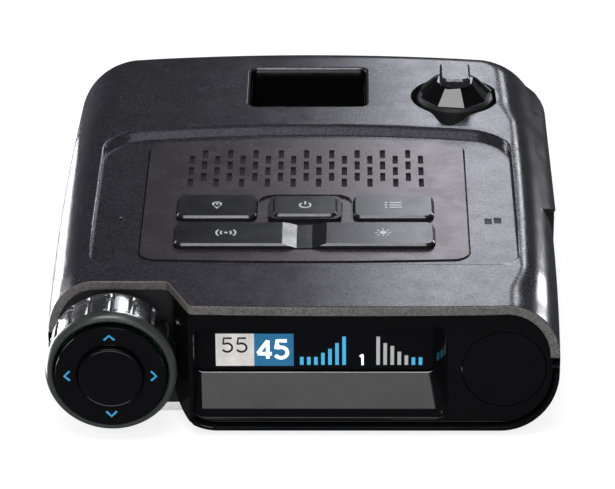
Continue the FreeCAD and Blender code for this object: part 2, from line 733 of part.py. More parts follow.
def ring_about_dial(points):
    """A solid turned about the dial's axis: points are (radius, distance behind the lip)."""
    corners = [Vector(radius, 0, along) for radius, along in points]
    solid = Part.Face(Part.makePolygon(corners + corners[:1])).revolve(Vector(), Vector(0, 0, 1), 360)
    solid.Placement = Placement(Vector(val("dial_x"), ahead(0), val("dial_z")), AXIS_TURNS["y"])
    return solid


def make_dial_bezel():
    inner, outer = val("bore_rad"), val("dial_rad")
    return ring_about_dial([(inner, -1.7), (inner + 0.7, -2.2), (outer - 0.7, -1.7), (outer - 0.15, -1.0),
                            (outer, -0.2), (outer - 0.3, 0.4), (inner, 0.4)])


def make_dial_band():
    """The knurled band: a cup whose web runs on the fixed post, with grooves along its outside."""
    inner, outer, hub = val("bore_rad"), val("band_rad"), val("hub_rad") + val("run_fit")
    band = ring_about_dial([(inner, 0.4), (outer, 0.4), (outer, 9.0), (outer - 0.6, 9.6), (hub, 9.6),
                            (hub, 7.4), (inner, 7.4)])
    count = 18
    for index in range(count):
        angle = 2 * math.pi * index / count
        x = val("dial_x") + (outer + 0.25) * math.cos(angle)
        z = val("dial_z") + (outer + 0.25) * math.sin(angle)
        band = band.cut(Part.makeCylinder(0.85, 7.4, Vector(x, ahead(1.2), z), Vector(0, 1, 0)))
    return band


def gimbal_axis(direction, near, far, radius):
    """Two pins on one line through the pad's centre, from the near to the far radius."""
    centre = Vector(val("dial_x"), ahead(val("pad_pivot")), val("dial_z"))
    pins = []
    for sign in (-1, 1):
        start = centre + direction * (sign * near)
        pins.append(Part.makeCylinder(radius, far - near, start, direction * sign))
    return pins[0].fuse(pins[1])


def post_ears(turn, y_low, y_high, near, far, half_width):
    """Two ears opposite each other about the dial's axis, turned by an angle about it."""
    centre = Vector(val("dial_x"), ahead(y_low), val("dial_z"))
    ears = []
    for sign in (0, 180):
        ear = Part.makeBox(far - near, y_high - y_low, 2 * half_width, Vector(near, 0, -half_width))
        ear.rotate(Vector(), Vector(0, 1, 0), turn + sign)
        ear.translate(centre)
        ears.append(ear)
    return ears[0].fuse(ears[1])


def make_dial_post():
    """The fixed post: a flanged tube that carries the band, the contact board and the gimbal's ears."""
    hub = val("hub_rad")
    tube = ring_about_dial([(4.2, 3.4), (hub, 3.4), (hub, 13.4), (4.2, 13.4)])
    cap = ring_about_dial([(4.2, 3.4), (11.2, 3.4), (11.2, 4.6), (4.2, 4.6)])
    ears = post_ears(0, val("pad_pivot") - 1.1, 3.5, 9.9, 10.9, 1.3)
    pins = gimbal_axis(Vector(1, 0, 0), 8.0, 11.5, 0.55 + val("run_fit"))
    return tube.fuse(cap).fuse(ears.cut(pins))


def make_pad_gimbal():
    """The ring between post and pad: pins across X in the post, pins along Z in the pad."""
    pivot = val("pad_pivot")
    ring = ring_about_dial([(8.6, pivot - 0.9), (9.6, pivot - 0.9), (9.6, pivot + 0.9), (8.6, pivot + 0.9)])
    ring = ring.fuse(gimbal_axis(Vector(1, 0, 0), 9.1, 10.9, 0.55))
    return ring.fuse(gimbal_axis(Vector(0, 0, 1), 9.1, 10.9, 0.55))


def chevron(turn):
    """One arrow mark, pointing outwards at an angle about the dial's axis."""
    tip, arm, stroke = 1.0, 1.05, 0.42
    corners = [(0, tip), (arm, 0), (arm - stroke * 0.7, -stroke * 0.7), (0, tip - stroke * 1.4),
               (-arm + stroke * 0.7, -stroke * 0.7), (-arm, 0)]
    points = [Vector(x, 0, z + 9.0) for x, z in corners]
    mark = Part.Face(Part.makePolygon(points + points[:1])).extrude(Vector(0, 1.2, 0))
    mark.rotate(Vector(), Vector(0, 1, 0), turn)
    mark.translate(Vector(val("dial_x"), ahead(val("pad_face") - 0.2), val("dial_z")))
    return mark


def pad_form():
    """The dished pad before its arrows are let in."""
    outer, hole, face = val("pad_rad"), val("mute_rad") + 0.3, val("pad_face")
    pad = ring_about_dial([(hole, face + 0.75), (hole, face + 1.7), (outer, face + 1.7),
                           (outer, face + 0.35), (outer - 0.35, face), (10.6, face + 0.25),
                           (9.0, face + 0.55)])
    ears = post_ears(90, face + 1.6, val("pad_pivot") + 1.1, 9.9, 10.9, 1.3)
    return pad.fuse(ears.cut(gimbal_axis(Vector(0, 0, 1), 8.0, 11.5, 0.55 + val("run_fit"))))


def make_mute_button():
    """A shallow dome on a stem that reaches the contact through the post."""
    rad, face = val("mute_rad"), val("mute_face")
    ball_rad = 26.0
    dome = dial_round(rad, face, face + 2.5)
    centre = Vector(val("dial_x"), ahead(face) + ball_rad, val("dial_z"))
    dome = dome.common(Part.makeSphere(ball_rad, centre))
    return dome.fuse(dial_round(2.4, face + 2.0, 1.5))


def make_dial():
    keep("dial_bezel", coded(make_dial_bezel()))
    keep("dial_band", coded(make_dial_band()))
    keep("dial_post", coded(make_dial_post()))
    keep("dial_encoder", pad_disc("hub_rad + 3.2", 1.5, "dial_x", 9.9, "dial_z", "y", "hub_rad + 0.02"))
    bulkhead = front_section(val("wall") + val("gap"), val("setback") + 0.2, val("setback") + 2.2)
    bulkhead = bulkhead.common(Part.makeBox(30, 40, 60, Vector(-57, ahead(0), -5)))
    keep("dial_bulkhead", coded(bulkhead.cut(dial_round(val("hub_rad") + 0.02, 0, 20))))
    ear_slots = coded(post_ears(0, 2.0, 3.6, 9.8, 11.4, 1.4))
    keep("pad_board", cut(pad_disc(11.2, 0.8, "dial_x", 2.6, "dial_z", "y"), ear_slots))
    keep("pad_gimbal", coded(make_pad_gimbal()))
    marks = Part.makeCompound([chevron(turn) for turn in (0, 90, 180, 270)])
    pad = pad_form()
    keep("direction_pad", coded(pad.cut(marks)))
    keep("direction_arrows", coded(pad.common(marks)))
    keep("mute_button", coded(make_mute_button()))
    contacts = []
    for angle in (0, 90, 180, 270):
        radial = math.radians(angle)
        x = f"dial_x + {9.3 * math.cos(radial):.3f}"
        z = f"dial_z + {9.3 * math.sin(radial):.3f}"
        contacts.append(drum(x, 2.25, z, 0.6, 0.35, "y"))
    contacts.append(drum("dial_x", 2.25, "dial_z", 2.2, 0.35, "y"))
    keep("pad_contacts", group(*contacts))


# ---------------------------------------------------------------- pocket and turret

def make_mount_pocket():
    half, y0, y1 = val("pocket_half"), val("pocket_front"), val("pocket_back")
    floor, rim = val("pocket_floor"), val("body_tall") - val("wall")
    tray = soft_block(-half - 1.5, half + 1.5, y0 - 1.5, y1 + 1.5, floor - 1.5, rim, 2.0)
    return tray.cut(soft_block(-half, half, y0, y1, floor, rim + 1, 1.2))


def octagon(radius, level):
    """An eight-sided outline with a flat side turned slightly away from the driver."""
    points = []
    turn = math.radians(-8)
    for index in range(8):
        angle = math.pi / 8 + index * math.pi / 4 + turn
        points.append(Vector(val("tower_x") + radius * math.cos(angle),
                             ahead(val("tower_y")) + radius * math.sin(angle), level))
    return Part.makePolygon(points + points[:1])


def faceted(low_rad, high_rad, z_low, z_high):
    return Part.makeLoft([octagon(low_rad, z_low), octagon(high_rad, z_high)], True, True)


def make_turret():
    centre = Vector(val("tower_x"), ahead(val("tower_y")), 0)
    base_top, lens_top = val("lens_low") - 0.05, val("cap_low") - 0.05
    base = turned([(4.0, 28.45), (9.3, 28.45), (9.3, 29.2), (8.9, base_top - 0.7), (8.4, base_top),
                   (4.0, base_top)], centre)
    keep("turret_base", coded(base))
    lens = faceted(8.2, 4.4, val("lens_low"), lens_top)
    lens = lens.cut(faceted(7.0, 3.3, val("lens_low") - 0.05, lens_top - 1.0))
    keep("turret_lens", coded(lens))
    back_corner = Vector(val("tower_x") - 15, ahead(val("tower_y")) + 1.4, val("lens_low"))
    back_half = Part.makeBox(30, 20, 12, back_corner)
    hood = faceted(9.0, 5.2, val("lens_low"), lens_top)
    hood = hood.cut(faceted(8.28, 4.48, val("lens_low") - 0.05, lens_top + 0.05)).common(back_half)
    keep("turret_hood", coded(hood))
    half, tower = val("cap_half"), val("tower_y")
    cap = soft_block(val("tower_x") - half, val("tower_x") + half, tower - 4.6, tower + 6.2,
                     val("cap_low"), val("tower_top"), 2.0)
    cap = cap.makeChamfer(0.5, level_edges(cap, val("tower_top")))
    keep("turret_cap", coded(cap))
    tube = drum("tower_x", "tower_y", 27.0, 3.4, 5.5)
    keep("turret_sensors", fuse(tube, drum("tower_x", "tower_y", 32.5, 1.6, 2.2)))
    keep("mount_pocket", coded(make_mount_pocket()))
    magnets = [drum(side, 110.5, "pocket_floor - 3.5", 4.5, 2.0) for side in (-7.0, 7.0)]
    keep("mount_magnets", group(*magnets))


# ---------------------------------------------------------------- small trim on the top

def make_top_trim():
    grommet = cut(drum(-41.1, 44.2, 28.2, 0.97, 1.9), drum(-41.1, 44.2, 28.0, 0.45, 3.0))
    keep("microphone_grommet", grommet)
    keep("microphone", pad_disc(2.4, 1.6, -41.1, 44.2, 26.6))
    windows = [block(x - 0.65, x + 0.65, y - 1.3, y + 1.3, 28.2, 30.1) for x, y in sensor_places()]
    keep("light_sensor_windows", group(*windows))


# ---------------------------------------------------------------- windscreen side

def make_windscreen_side():
    wall_slice = rolled_body(0.0, 0.0).cut(rolled_body(val("wall"), -1.0))
    wall_slice = wall_slice.common(window_cutout(-val("gap")))
    keep("windscreen_window", coded(wall_slice))
    receivers = []
    for x in (-22.0, 14.0):
        body = fuse(block(x - 4.5, x + 4.5, 116.5, 122.0, 8.0, 17.0), drum(x, 121.9, 12.5, 3.6, 6.0, "y"))
        receivers.append(body)
    keep("laser_receivers", group(*receivers))


def make_camera():
    """The tilting camera barrel in its bracket at the back right corner."""
    x, y, z = val("camera_x"), ahead(val("camera_y")), val("camera_z")
    half, rad = val("camera_half"), val("camera_rad")
    along = Vector(1, 0, 0)
    barrel = Part.makeCylinder(rad, 2 * half, Vector(x - half, y, z), along)
    pin = Part.makeCylinder(1.9, 2 * half + 5.0, Vector(x - half - 2.5, y, z), along)
    seat = Part.makeCylinder(4.2, 3.0, Vector(x, y + rad - 1.2, z), Vector(0, 1, 0))
    chip_room = Part.makeBox(8.2, 2.2, 8.2, Vector(x - 4.1, y + 2.0, z - 4.1))
    sight = Part.makeCylinder(2.6, 8, Vector(x, y + 3, z), Vector(0, 1, 0))
    keep("camera_barrel", coded(barrel.fuse(pin).cut(seat).cut(chip_room).cut(sight)))
    glass = Part.makeCylinder(4.1, 0.9, Vector(x, y + rad - 1.2, z), Vector(0, 1, 0))
    keep("camera_lens", coded(glass))
    keep("camera_sensor", coded(Part.makeBox(8.0, 1.6, 8.0, Vector(x - 4.0, y + 2.2, z - 4.0))))
    cheek = half + 0.4
    bracket = Part.makeBox(2 * cheek + 4, 16.0, 11, Vector(x - cheek - 2, y - 11.0, z - 5.5))
    bracket = bracket.cut(Part.makeBox(2 * cheek, 30, 20, Vector(x - cheek, y - rad - 0.5, z - 10)))
    bore = Part.makeCylinder(1.9 + val("run_fit"), 40, Vector(x - 20, y, z), along)
    bracket = bracket.common(rolled_body(val("wall") + val("gap"), -1.0))
    keep("camera_bracket", coded(bracket.cut(bore)))


# ---------------------------------------------------------------- electronics

def make_board():
    board = block("-board_half", "board_half", "board_front", "board_back", "board_low", "board_top")
    holes = [drum(x, y, "board_low - 1", 1.2, 5.0) for x, y in standoff_places()]
    keep("main_board", cut(board, *holes))
    screws = []
    for x, y in standoff_places():
        screws.append(fuse(drum(x, y, 2.4, 0.97, "board_top - 2.4"), drum(x, y, "board_top", 2.0, 1.2)))
    keep("board_screws", group(*screws))
    screws = []
    for x, y in post_places():
        screws.append(fuse(drum(x, y, 0.8, 2.5, 1.4), drum(x, y, 2.2, 1.17, 9.5)))
    keep("cover_screws", group(*screws))


def make_radar():
    keep("radar_housing", block(-26, 6, 62, 96, "board_top", 16.6))
    horns = (("front_horn", 96.0, 115.0, 13.0, 9.6), ("rear_horn", 62.0, 48.0, 9.0, 8.6))
    for name, y_throat, y_mouth, half, tall in horns:
        wires = []
        for scale in (0.0, 0.8):
            pair = []
            for y, wide, high in ((y_throat, 6.0, 5.0), (y_mouth, half, tall)):
                low, up = val("board_top") + 0.1 + scale, val("board_top") + 0.1 + high - scale
                corners = [Vector(-10 - wide + scale, ahead(y), low), Vector(-10 + wide - scale, ahead(y), low),
                           Vector(-10 + wide - scale, ahead(y), up), Vector(-10 - wide + scale, ahead(y), up)]
                pair.append(Part.makePolygon(corners + corners[:1]))
            wires.append(Part.makeLoft(pair, True, True))
        keep(name, coded(wires[0].cut(wires[1])))


def make_electronics():
    make_board()
    make_radar()
    cans = []
    for x0, x1, y0, y1 in ((10, 34, 50, 74), (10, 34, 78, 100), (-38, -28, 52, 92)):
        can = block(x0, x1, y0, y1, "board_top", "board_top + 3")
        room = block(x0 + 0.4, x1 - 0.4, y0 + 0.4, y1 - 0.4, "board_top - 1", "board_top + 2.6")
        cans.append(cut(can, room))
    keep("shield_cans", group(*cans))
    keep("gps_antenna", pad_plate(25, 25, 4.0, -30.5, 107.0, 22.5, 1.0))
    keep("backup_cell", pad_disc(6.2, 2.0, -22.0, 36.0, "board_top"))


def make_ports():
    """The socket plate in the side scoop, with its sockets behind it."""
    x, y, z = val("port_x"), val("port_y"), val("port_z")
    plate = Part.makeBox(1.2, 15.0, 9.6, Vector(x, ahead(y - 7.3), z - 4.6))
    power = Part.makeBox(4, 5.2, 5.2, Vector(x - 1, ahead(y - 6.6), z - 2.6))
    phone = Part.makeCylinder(2.2, 4, Vector(x - 1, ahead(y + 2.0), z), Vector(1, 0, 0))
    card = Part.makeBox(4, 1.2, 8.0, Vector(x - 1, ahead(y + 5.6), z - 4.0))
    keep("port_panel", coded(plate.cut(power).cut(phone).cut(card)))
    jack = Part.makeBox(9.0, 5.0, 5.0, Vector(x - 7.9, ahead(y - 6.5), z - 2.5))
    keep("power_jack", coded(jack.cut(Part.makeBox(6, 3.8, 3.6, Vector(x - 4.4, ahead(y - 5.9), z - 1.8)))))
    barrel = Part.makeCylinder(2.15, 9.0, Vector(x - 7.9, ahead(y + 2.0), z), Vector(1, 0, 0))
    bore = Part.makeCylinder(1.25, 8, Vector(x - 6.5, ahead(y + 2.0), z), Vector(1, 0, 0))
    keep("earphone_jack", coded(barrel.cut(bore)))
    reader = Part.makeBox(10.0, 1.1, 7.9, Vector(x - 8.9, ahead(y + 5.65), z - 3.95))
    card_slot = Part.makeBox(9, 0.5, 7.0, Vector(x - 7.7, ahead(y + 5.95), z - 3.5))
    keep("card_reader", coded(reader.cut(card_slot)))


# ---------------------------------------------------------------- build and export

def check_and_export():
    doc.recompute()
    for obj in doc.Objects:
        if "Invalid" in obj.State or "Error" in obj.State:
            raise RuntimeError(f"{obj.Label} failed: {obj.State}")
    bad = []
    for label, obj in SUBPARTS.items():
        shape = obj.Shape
        if shape.isNull() or not shape.isValid() or not shape.Solids:
            bad.append(label)
    if bad:
        raise RuntimeError(f"no valid solid: {bad}")
    os.makedirs("parts", exist_ok=True)
    for label, obj in SUBPARTS.items():
        obj.Shape.exportStep(f"parts/{label}.step")


keep("top_cover", coded(make_top_cover()))
keep("bottom_cover", coded(make_bottom_cover()))
make_front()
make_keys()
make_speaker()
make_dial()
make_turret()
make_top_trim()
make_windscreen_side()
make_camera()
make_electronics()
make_ports()
check_and_export()
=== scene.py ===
import json
import math

import bmesh
import bpy
from mathutils import Matrix, Vector
from mathutils.geometry import tessellate_polygon


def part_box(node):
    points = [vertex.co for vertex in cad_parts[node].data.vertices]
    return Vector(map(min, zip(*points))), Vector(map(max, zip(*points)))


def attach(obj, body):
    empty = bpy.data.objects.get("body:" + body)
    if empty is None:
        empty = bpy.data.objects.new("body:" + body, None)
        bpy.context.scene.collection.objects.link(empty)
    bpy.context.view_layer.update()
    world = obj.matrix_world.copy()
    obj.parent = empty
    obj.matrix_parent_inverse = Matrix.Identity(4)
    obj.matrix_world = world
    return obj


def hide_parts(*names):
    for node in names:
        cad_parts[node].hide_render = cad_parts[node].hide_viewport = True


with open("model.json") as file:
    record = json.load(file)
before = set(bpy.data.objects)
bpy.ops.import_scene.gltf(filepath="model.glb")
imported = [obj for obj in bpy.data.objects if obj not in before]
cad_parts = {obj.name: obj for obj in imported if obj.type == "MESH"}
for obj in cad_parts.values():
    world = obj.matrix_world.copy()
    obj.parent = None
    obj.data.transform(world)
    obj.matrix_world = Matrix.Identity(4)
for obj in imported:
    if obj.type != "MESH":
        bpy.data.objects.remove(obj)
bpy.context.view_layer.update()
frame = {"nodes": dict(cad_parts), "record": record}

# Lengths in this file are millimetres, and Y is counted from the front lip of the top cover.
MM = 0.001
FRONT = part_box("top_cover")[0].y / MM
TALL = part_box("top_cover")[1].z / MM
HALF_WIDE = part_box("top_cover")[1].x / MM
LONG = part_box("top_cover")[1].y / MM - FRONT
SIDE_BULGE, WIDEST_AT = 1.1, 60.0
BACK_SAG, CORNER = 3.2, 14.6
SETBACK = 11.2
PARTING = 17.0
TOE_TALL, TOE_LONG = 1.5, 7.0
# The rolled edges: how far they reach inwards and downwards.
BACK_ROLL, UPPER_DOWN = 9.0, 12.5
LOWER_ALONG, LOWER_DOWN = 12.5, 15.5
POD_X, POD_FOOT = 57.15, 4.0
SCOOP_TOP, SCOOP_REAR, SCOOP_FRONT, SCOOP_LOW = (52.3, 28.8), (72.4, 17.9), 53.2, 8.6


# ---- mesh helpers

def place(x, y, z):
    """A point of the row frame, in metres, from millimetres behind the lip."""
    return Vector((x, FRONT + y, z)) * MM


class Shape:
    """Collects points and faces, then becomes one object."""

    def __init__(self):
        self.points = []
        self.faces = []
        self.kinds = []

    def ring(self, points):
        start = len(self.points)
        self.points.extend(place(*p) for p in points)
        return list(range(start, len(self.points)))

    def face(self, indices, kind=0):
        self.faces.append(list(indices))
        self.kinds.append(kind)

    def bridge(self, a, b, closed=True, kind=0):
        count = len(a)
        for i in range(count if closed else count - 1):
            j = (i + 1) % count
            self.face((a[i], a[j], b[j], b[i]), kind)

    def loft(self, rows, closed=True, kind=0):
        rings = [self.ring(row) for row in rows]
        for a, b in zip(rings, rings[1:]):
            self.bridge(a, b, closed, kind)
        return rings

    def fill(self, outer, holes=(), kind=0):
        """A flat face with holes; each loop is a list of point indices."""
        loops = [outer, *holes]
        flat = [i for loop in loops for i in loop]
        for triangle in tessellate_polygon([[self.points[i] for i in loop] for loop in loops]):
            self.face([flat[i] for i in triangle], kind)

    def build(self, name, materials, body, replaces=(), angle=32.0, weighted=True, after=None):
        mesh = bpy.data.meshes.new(name)
        mesh.from_pydata(self.points, [], self.faces)
        for polygon, kind in zip(mesh.polygons, self.kinds):
            polygon.material_index = kind
        work = bmesh.new()
        work.from_mesh(mesh)
        bmesh.ops.remove_doubles(work, verts=work.verts, dist=2e-6)
        bmesh.ops.dissolve_degenerate(work, dist=1e-7, edges=work.edges)
        if after:
            after(work)
        bmesh.ops.recalc_face_normals(work, faces=work.faces)
        work.to_mesh(mesh)
        work.free()
        mesh.shade_smooth()
        mesh.set_sharp_from_angle(angle=math.radians(angle))
        obj = bpy.data.objects.new(name, mesh)
        bpy.context.scene.collection.objects.link(obj)
        for material in materials:
            mesh.materials.append(material)
        if weighted:
            modifier = obj.modifiers.new("normals", "WEIGHTED_NORMAL")
            modifier.keep_sharp = True
        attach(obj, body)
        if replaces:
            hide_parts(*replaces)
        return obj


def smooth_step(low, high, value):
    """0 below low, 1 above high, with a soft curve between."""
    t = min(1.0, max(0.0, (value - low) / (high - low)))
    return t * t * (3 - 2 * t)


def headings(line):
    """At each point of a line, the direction from the point before to the point after."""
    for a, b in zip([line[0], *line], [*line[1:], line[-1]]):
        dx, dy = b[0] - a[0], b[1] - a[1]
        size = math.hypot(dx, dy)
        yield dx / size, dy / size


def steps(start, stop, count):
    """Evenly spaced values, both ends included."""
    return [start + (stop - start) * i / count for i in range(count + 1)]


def rounded_rect(x_low, x_high, y_low, y_high, radius, grow=0.0, arc_steps=6, side_steps=1):
    """A closed outline, counted from the front right corner, grown by a margin."""
    x_low, x_high, y_low, y_high = x_low - grow, x_high + grow, y_low - grow, y_high + grow
    radius = max(radius + grow, 0.02)
    centres = [(x_high - radius, y_low + radius, -90), (x_high - radius, y_high - radius, 0),
               (x_low + radius, y_high - radius, 90), (x_low + radius, y_low + radius, 180)]
    corners = []
    for cx, cy, start in centres:
        corners.append([(cx + radius * math.cos(math.radians(start + 90 * i / arc_steps)),
                         cy + radius * math.sin(math.radians(start + 90 * i / arc_steps)))
                        for i in range(arc_steps + 1)])
    outline = []
    for index, corner in enumerate(corners):
        outline.extend(corner)
        corner_x, corner_y = corner[-1]
        next_x, next_y = corners[(index + 1) % 4][0]
        for i in range(1, side_steps):
            t = i / side_steps
            outline.append((corner_x * (1 - t) + next_x * t, corner_y * (1 - t) + next_y * t))
    return outline


def bowed(half, y_front, y_back, bow_front, bow_back, radius_front, radius_back, grow=0.0):
    """A rounded outline whose front and back edges bow outwards."""
    low, high = y_front + bow_front - grow, y_back - bow_back + grow
    middle = (low + high) / 2
    loops = [rounded_rect(-half, half, y_front + bow_front, y_back - bow_back, radius, grow, 8, 24)
             for radius in (radius_front, radius_back)]
    result = []
    for front_point, back_point in zip(*loops):
        x, y = front_point if front_point[1] < middle else back_point
        share = 1 - min(1.0, abs(x) / (half + grow)) ** 2
        weight = abs(y - middle) / (high - middle)
        bow = -bow_front if y < middle else bow_back
        result.append((x, y + bow * share * weight ** 8))
    return result


def at_level(outline, z):
    return [(x, y, z) for x, y in outline]


def circle(cx, cy, radius, count=32, start=0.0):
    return [(cx + radius * math.cos(start + 2 * math.pi * i / count),
             cy + radius * math.sin(start + 2 * math.pi * i / count)) for i in range(count)]


# ---- materials

class Nodes:
    """A short way to write a material's node tree."""

    def __init__(self, name):
        self.material = bpy.data.materials.new(name)
        self.material.use_nodes = True
        self.tree = self.material.node_tree
        self.shader = self.tree.nodes["Principled BSDF"]
        self.where = self.tree.nodes.new("ShaderNodeTexCoord").outputs["Object"]

    def add(self, kind, inputs, **settings):
        node = self.tree.nodes.new(kind)
        for key, value in settings.items():
            setattr(node, key, value)
        for key, value in inputs.items():
            if isinstance(value, bpy.types.NodeSocket):
                self.tree.links.new(value, node.inputs[key])
            else:
                node.inputs[key].default_value = value
        return node

    def noise(self, grain, detail=3.0):
        """Noise whose features are about this many millimetres across."""
        return self.add("ShaderNodeTexNoise", {"Vector": self.where, "Scale": 1.0 / (grain * MM),
                                               "Detail": detail, "Roughness": 0.55}).outputs["Fac"]

    def cells(self, grain):
        """A random value for each grain of this size."""
        node = self.add("ShaderNodeTexVoronoi", {"Vector": self.where, "Scale": 1.0 / (grain * MM)})
        return self.add("ShaderNodeSeparateColor", {"Color": node.outputs["Color"]}).outputs["Red"]

    def spread(self, value, low, high, from_low=0.3, from_high=0.7):
        return self.add("ShaderNodeMapRange", {"Value": value, "From Min": from_low, "From Max": from_high,
                                               "To Min": low, "To Max": high}).outputs["Result"]

    def mix(self, value, dark, light):
        node = self.add("ShaderNodeMix", {0: value, 6: (*dark, 1), 7: (*light, 1)}, data_type="RGBA")
        return node.outputs[2]

    def link(self, output, socket):
        self.tree.links.new(output, self.shader.inputs[socket])

    def bump(self, height, strength, distance):
        node = self.add("ShaderNodeBump", {"Height": height, "Strength": strength, "Distance": distance * MM})
        self.link(node.outputs["Normal"], "Normal")


def scaled(colour, factor):
    return tuple(min(1.0, c * factor) for c in colour)


PATCH = 12.0


def paint(name, colour, rough, metallic, fleck, fleck_size, grain):
    """Satin paint: broad unevenness, a metallic fleck and a fine orange-peel grain."""
    n = Nodes(name)
    broad = n.spread(n.noise(PATCH, 2.0), 0.0, 1.0)
    base = n.mix(broad, scaled(colour, 0.94), scaled(colour, 1.06))
    sparkle = n.spread(n.cells(fleck_size), 0.0, 1.0, 0.0, 1.0)
    light = n.mix(broad, scaled(colour, 1 + fleck), scaled(colour, 1 + fleck * 1.15))
    mixed = n.add("ShaderNodeMix", {0: sparkle, 6: base, 7: light}, data_type="RGBA").outputs[2]
    n.link(mixed, "Base Color")
    n.shader.inputs["Metallic"].default_value = metallic
    n.link(n.spread(n.noise(PATCH * 0.4, 4.0), rough - 0.03, rough + 0.04), "Roughness")
    n.bump(n.noise(fleck_size * 1.3, 2.0), grain, 0.05)
    return n.material


def gloss(name, colour, rough=0.06):
    """Polished plastic, with the slight unevenness of a moulding and faint handling haze."""
    n = Nodes(name)
    n.link(n.mix(n.noise(9.0), colour, scaled(colour, 1.35)), "Base Color")
    n.link(n.spread(n.noise(5.0, 5.0), rough, rough + 0.05), "Roughness")
    n.shader.inputs["Specular IOR Level"].default_value = 0.5
    n.bump(n.noise(6.0, 1.0), 0.03, 0.1)
    return n.material


def textured(name, colour, rough, grain=0.3, depth=0.35):
    """Spark-eroded matte plastic or rubber."""
    n = Nodes(name)
    n.link(n.mix(n.noise(7.0), scaled(colour, 0.85), scaled(colour, 1.2)), "Base Color")
    n.link(n.spread(n.noise(grain * 3), rough - 0.06, rough + 0.08), "Roughness")
    n.bump(n.noise(grain, 4.0), depth, 0.05)
    return n.material


def turned_metal(name, colour, rough):
    """Satin aluminium with fine lines round the dial's axis."""
    n = Nodes(name)
    shift = n.add("ShaderNodeMapping", {"Vector": n.where, "Scale": (25.0, 2600.0, 25.0)}).outputs["Vector"]
    lines = n.add("ShaderNodeTexNoise", {"Vector": shift, "Scale": 1.0, "Detail": 3.0}).outputs["Fac"]
    n.link(n.mix(lines, scaled(colour, 0.9), scaled(colour, 1.08)), "Base Color")
    n.shader.inputs["Metallic"].default_value = 1.0
    n.link(n.spread(lines, rough - 0.05, rough + 0.08), "Roughness")
    n.bump(lines, 0.12, 0.02)
    return n.material


def cast_metal(name, colour, rough, metallic=1.0):
    """Bare or plated metal with a fine cast grain; ceramic when it isn't metallic."""
    n = Nodes(name)
    grain = 0.8
    n.link(n.mix(n.noise(grain * 2), scaled(colour, 0.8), scaled(colour, 1.1)), "Base Color")
    n.shader.inputs["Metallic"].default_value = metallic
    n.link(n.spread(n.noise(grain), rough - 0.08, rough + 0.12), "Roughness")
    n.bump(n.noise(grain * 0.5, 4.0), 0.2, 0.05)
    return n.material


def lit(name, colour, strength, dim=0.85):
    """A lit display area or printed light pipe, slightly uneven; on the printed white key legends the same
    glow is painted light.
    """
    n = Nodes(name)
    shade = n.mix(n.noise(2.5, 1.0), scaled(colour, dim), colour)
    n.link(shade, "Base Color")
    n.link(shade, "Emission Color")
    n.shader.inputs["Emission Strength"].default_value = strength
    n.link(n.spread(n.noise(1.0), 0.25, 0.4), "Roughness")
    return n.material


def circuit_board(name):
    """Solder mask over a fine pattern of tracks."""
    n = Nodes(name)
    brick = n.add("ShaderNodeTexBrick", {"Vector": n.where, "Scale": 260.0, "Mortar Size": 0.03,
                                         "Color1": (0.01, 0.09, 0.03, 1), "Color2": (0.015, 0.13, 0.045, 1),
                                         "Mortar": (0.05, 0.28, 0.1, 1)})
    n.link(brick.outputs["Color"], "Base Color")
    n.link(n.spread(n.noise(2.0), 0.25, 0.4), "Roughness")
    return n.material


def clear_glass(name):
    """A dark coated lens."""
    n = Nodes(name)
    n.link(n.mix(n.noise(3.0), (0.02, 0.015, 0.04), (0.03, 0.02, 0.06)), "Base Color")
    n.link(n.spread(n.noise(4.0), 0.02, 0.05), "Roughness")
    n.shader.inputs["Coat Weight"].default_value = 1.0
    return n.material


CASE = paint("case_satin", (0.030, 0.029, 0.036), 0.21, 0.45, fleck=1.9, fleck_size=0.30, grain=0.12)
LIP = paint("case_lip", (0.095, 0.092, 0.088), 0.50, 0.2, fleck=1.2, fleck_size=0.34, grain=0.6)
PANEL = paint("panel_metal", (0.085, 0.073, 0.080), 0.26, 0.6, fleck=0.25, fleck_size=0.18, grain=0.05)
KEY = paint("key_satin", (0.026, 0.026, 0.031), 0.20, 0.45, fleck=0.9, fleck_size=0.22, grain=0.08)
BEZEL = paint("bezel_satin", (0.085, 0.087, 0.086), 0.28, 0.5, fleck=0.2, fleck_size=0.2, grain=0.05)
UNDER = textured("case_black", (0.018, 0.018, 0.020), 0.5)
GLOSS = gloss("gloss_black", (0.0035, 0.0035, 0.004))
DISH = textured("turret_black", (0.010, 0.010, 0.011), 0.42, 0.35, 0.2)
SMOKED = gloss("smoked", (0.006, 0.006, 0.008), 0.05)
SENSOR = textured("sensor_black", (0.004, 0.004, 0.005), 0.45, 0.35, 0.2)
KNOB = turned_metal("knob_metal", (0.50, 0.50, 0.52), 0.22)
ARROW = lit("arrow_blue", (0.02, 0.27, 0.50), 0.6)
# The key legends are printed white ink; their emission is a painted glow, since they are no lamp.
WHITE_INK_PAINTED_GLOW = lit("legend_white_painted_glow", (0.62, 0.62, 0.65), 0.28)
SLOT_CLOTH = textured("slot_cloth", (0.030, 0.026, 0.030), 0.8, 0.25, 0.4)
SCREEN_GREY = lit("screen_grey", (0.62, 0.60, 0.58), 0.75, 0.55)
SCREEN_BLUE = lit("screen_blue", (0.012, 0.115, 0.24), 0.85)
SCREEN_CYAN = lit("screen_cyan", (0.04, 0.33, 0.55), 0.9)
SCREEN_WHITE = lit("screen_white", (0.95, 0.97, 1.0), 1.0)
SCREEN_DIM = lit("screen_dim", (0.42, 0.42, 0.42), 0.5)
SCREEN_INK = gloss("screen_ink", (0.02, 0.02, 0.022), 0.3)

